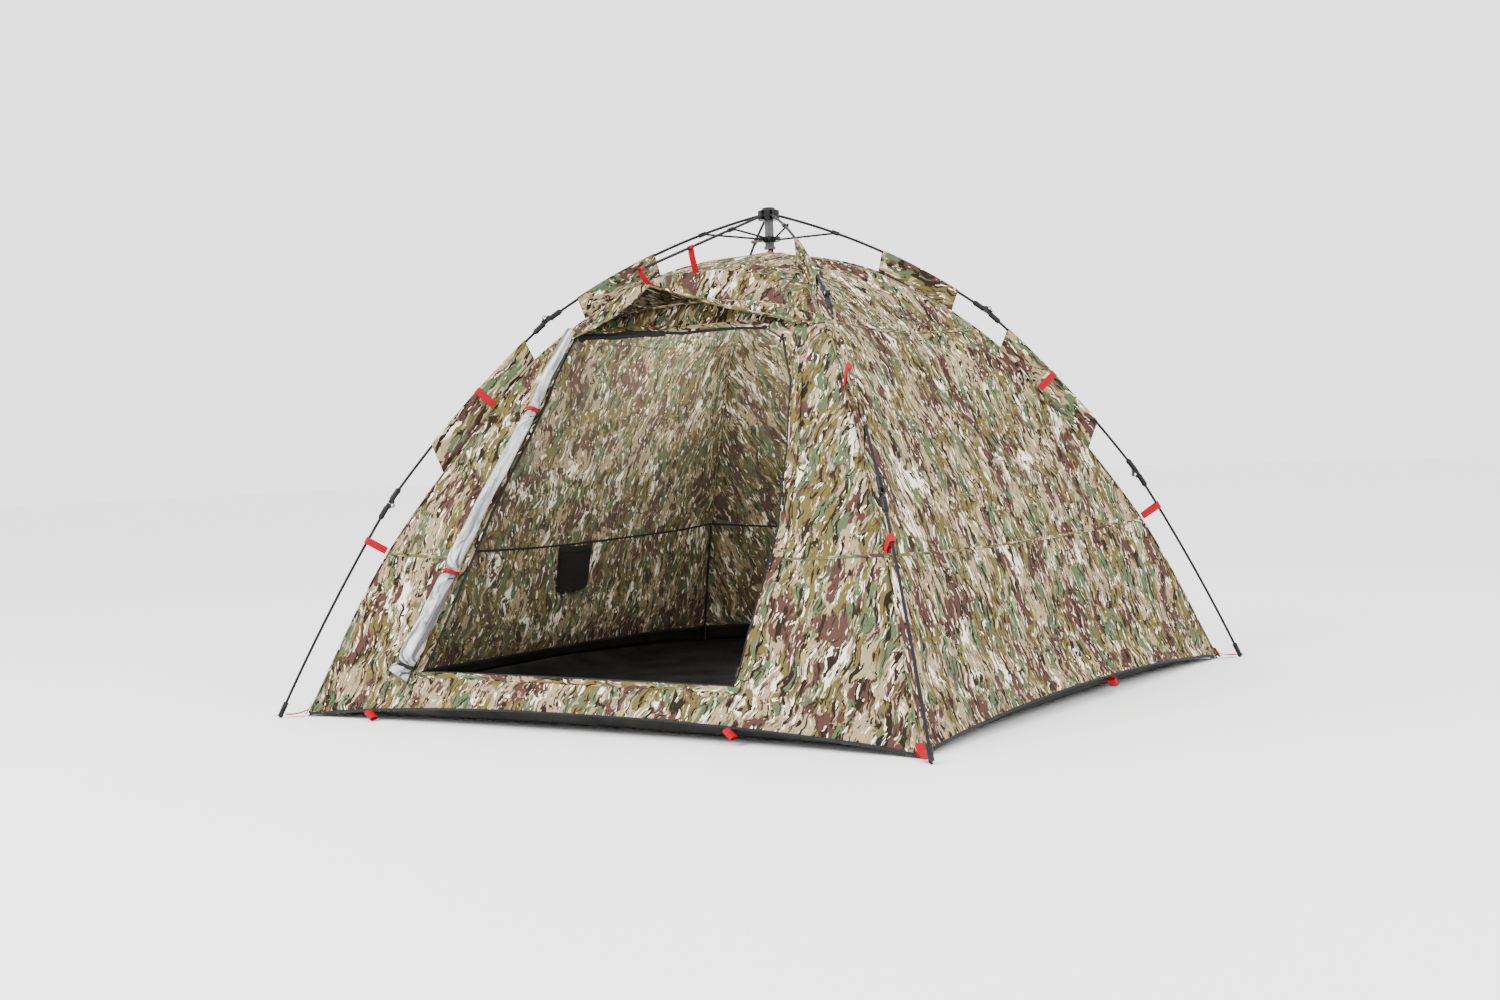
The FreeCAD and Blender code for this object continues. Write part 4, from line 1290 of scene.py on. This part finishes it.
SKY_STRENGTH = 2.5
STUDIO_HALF = 40
LIGHTS = (("key", (-2.5, -6.5, 6.0), (0, 0, 0.7), 3.5, 820),
          ("fill", (7.0, -2.0, 4.5), (0, 0, 0.6), 4.0, 390))
GLOW_PLACE, GLOW_SIZE, GLOW_POWER = (0, 0.1, 0.95), 0.35, 50


def build_stage():
    mesh = bpy.data.meshes.new("studio_floor")
    corners = [(x * STUDIO_HALF, y * STUDIO_HALF, 0) for x, y in ((-1, -1), (1, -1), (1, 1), (-1, 1))]
    mesh.from_pydata(corners, [], [(0, 1, 2, 3)])
    floor = bpy.data.objects.new("studio_floor", mesh)
    floor.location.z = -0.0005
    bpy.context.collection.objects.link(floor)
    mesh.materials.append(studio_floor())
    world = bpy.data.worlds.new("studio")
    world.use_nodes = True
    world.node_tree.nodes["Background"].inputs["Color"].default_value = (1, 1, 1, 1)
    world.node_tree.nodes["Background"].inputs["Strength"].default_value = SKY_STRENGTH
    bpy.context.scene.world = world
    for name, place, target, size, power in LIGHTS:
        light = bpy.data.lights.new(name, "AREA")
        light.size = size
        light.energy = power
        obj = bpy.data.objects.new(name, light)
        obj.location = place
        obj.rotation_euler = (Vector(target) - Vector(place)).to_track_quat("-Z", "Y").to_euler()
        bpy.context.collection.objects.link(obj)


def build_glow():
    """Soft light inside the tent, for the daylight that comes through thin cloth."""
    light = bpy.data.lights.new("glow", "POINT")
    light.energy = GLOW_POWER
    light.shadow_soft_size = GLOW_SIZE
    obj = bpy.data.objects.new("glow", light)
    obj.location = GLOW_PLACE
    bpy.context.collection.objects.link(obj)


CAMERA_PLACE = (3.423, -5.361, 0.825)
CAMERA_YAW, CAMERA_PITCH, CAMERA_ROLL = -0.584, -0.028, -0.037
CAMERA_LENS = 44.24


def build_camera():
    data = bpy.data.cameras.new("camera")
    data.lens = CAMERA_LENS
    data.sensor_width = 36
    camera = bpy.data.objects.new("camera", data)
    forward = Vector((sin(CAMERA_YAW) * cos(CAMERA_PITCH),
                      cos(CAMERA_YAW) * cos(CAMERA_PITCH), sin(CAMERA_PITCH)))
    level = Vector((cos(CAMERA_YAW), -sin(CAMERA_YAW), 0))
    up = level.cross(forward)
    right = level * cos(CAMERA_ROLL) + up * sin(CAMERA_ROLL)
    top = up * cos(CAMERA_ROLL) - level * sin(CAMERA_ROLL)
    turn = Matrix((right, top, -forward)).transposed().to_4x4()
    camera.matrix_world = Matrix.Translation(CAMERA_PLACE) @ turn
    bpy.context.collection.objects.link(camera)
    bpy.context.scene.camera = camera


build_walls()
roof_cloth()
build_seams()
build_floor()
build_door_edges()
build_roll()
build_mesh_roll()
build_brow()
build_sleeves()
build_straps()
build_hub_tie()
build_peg_loops()
build_pocket()
build_elbows()
build_feet()
build_hub_details()
build_stage()
build_glow()
build_camera()
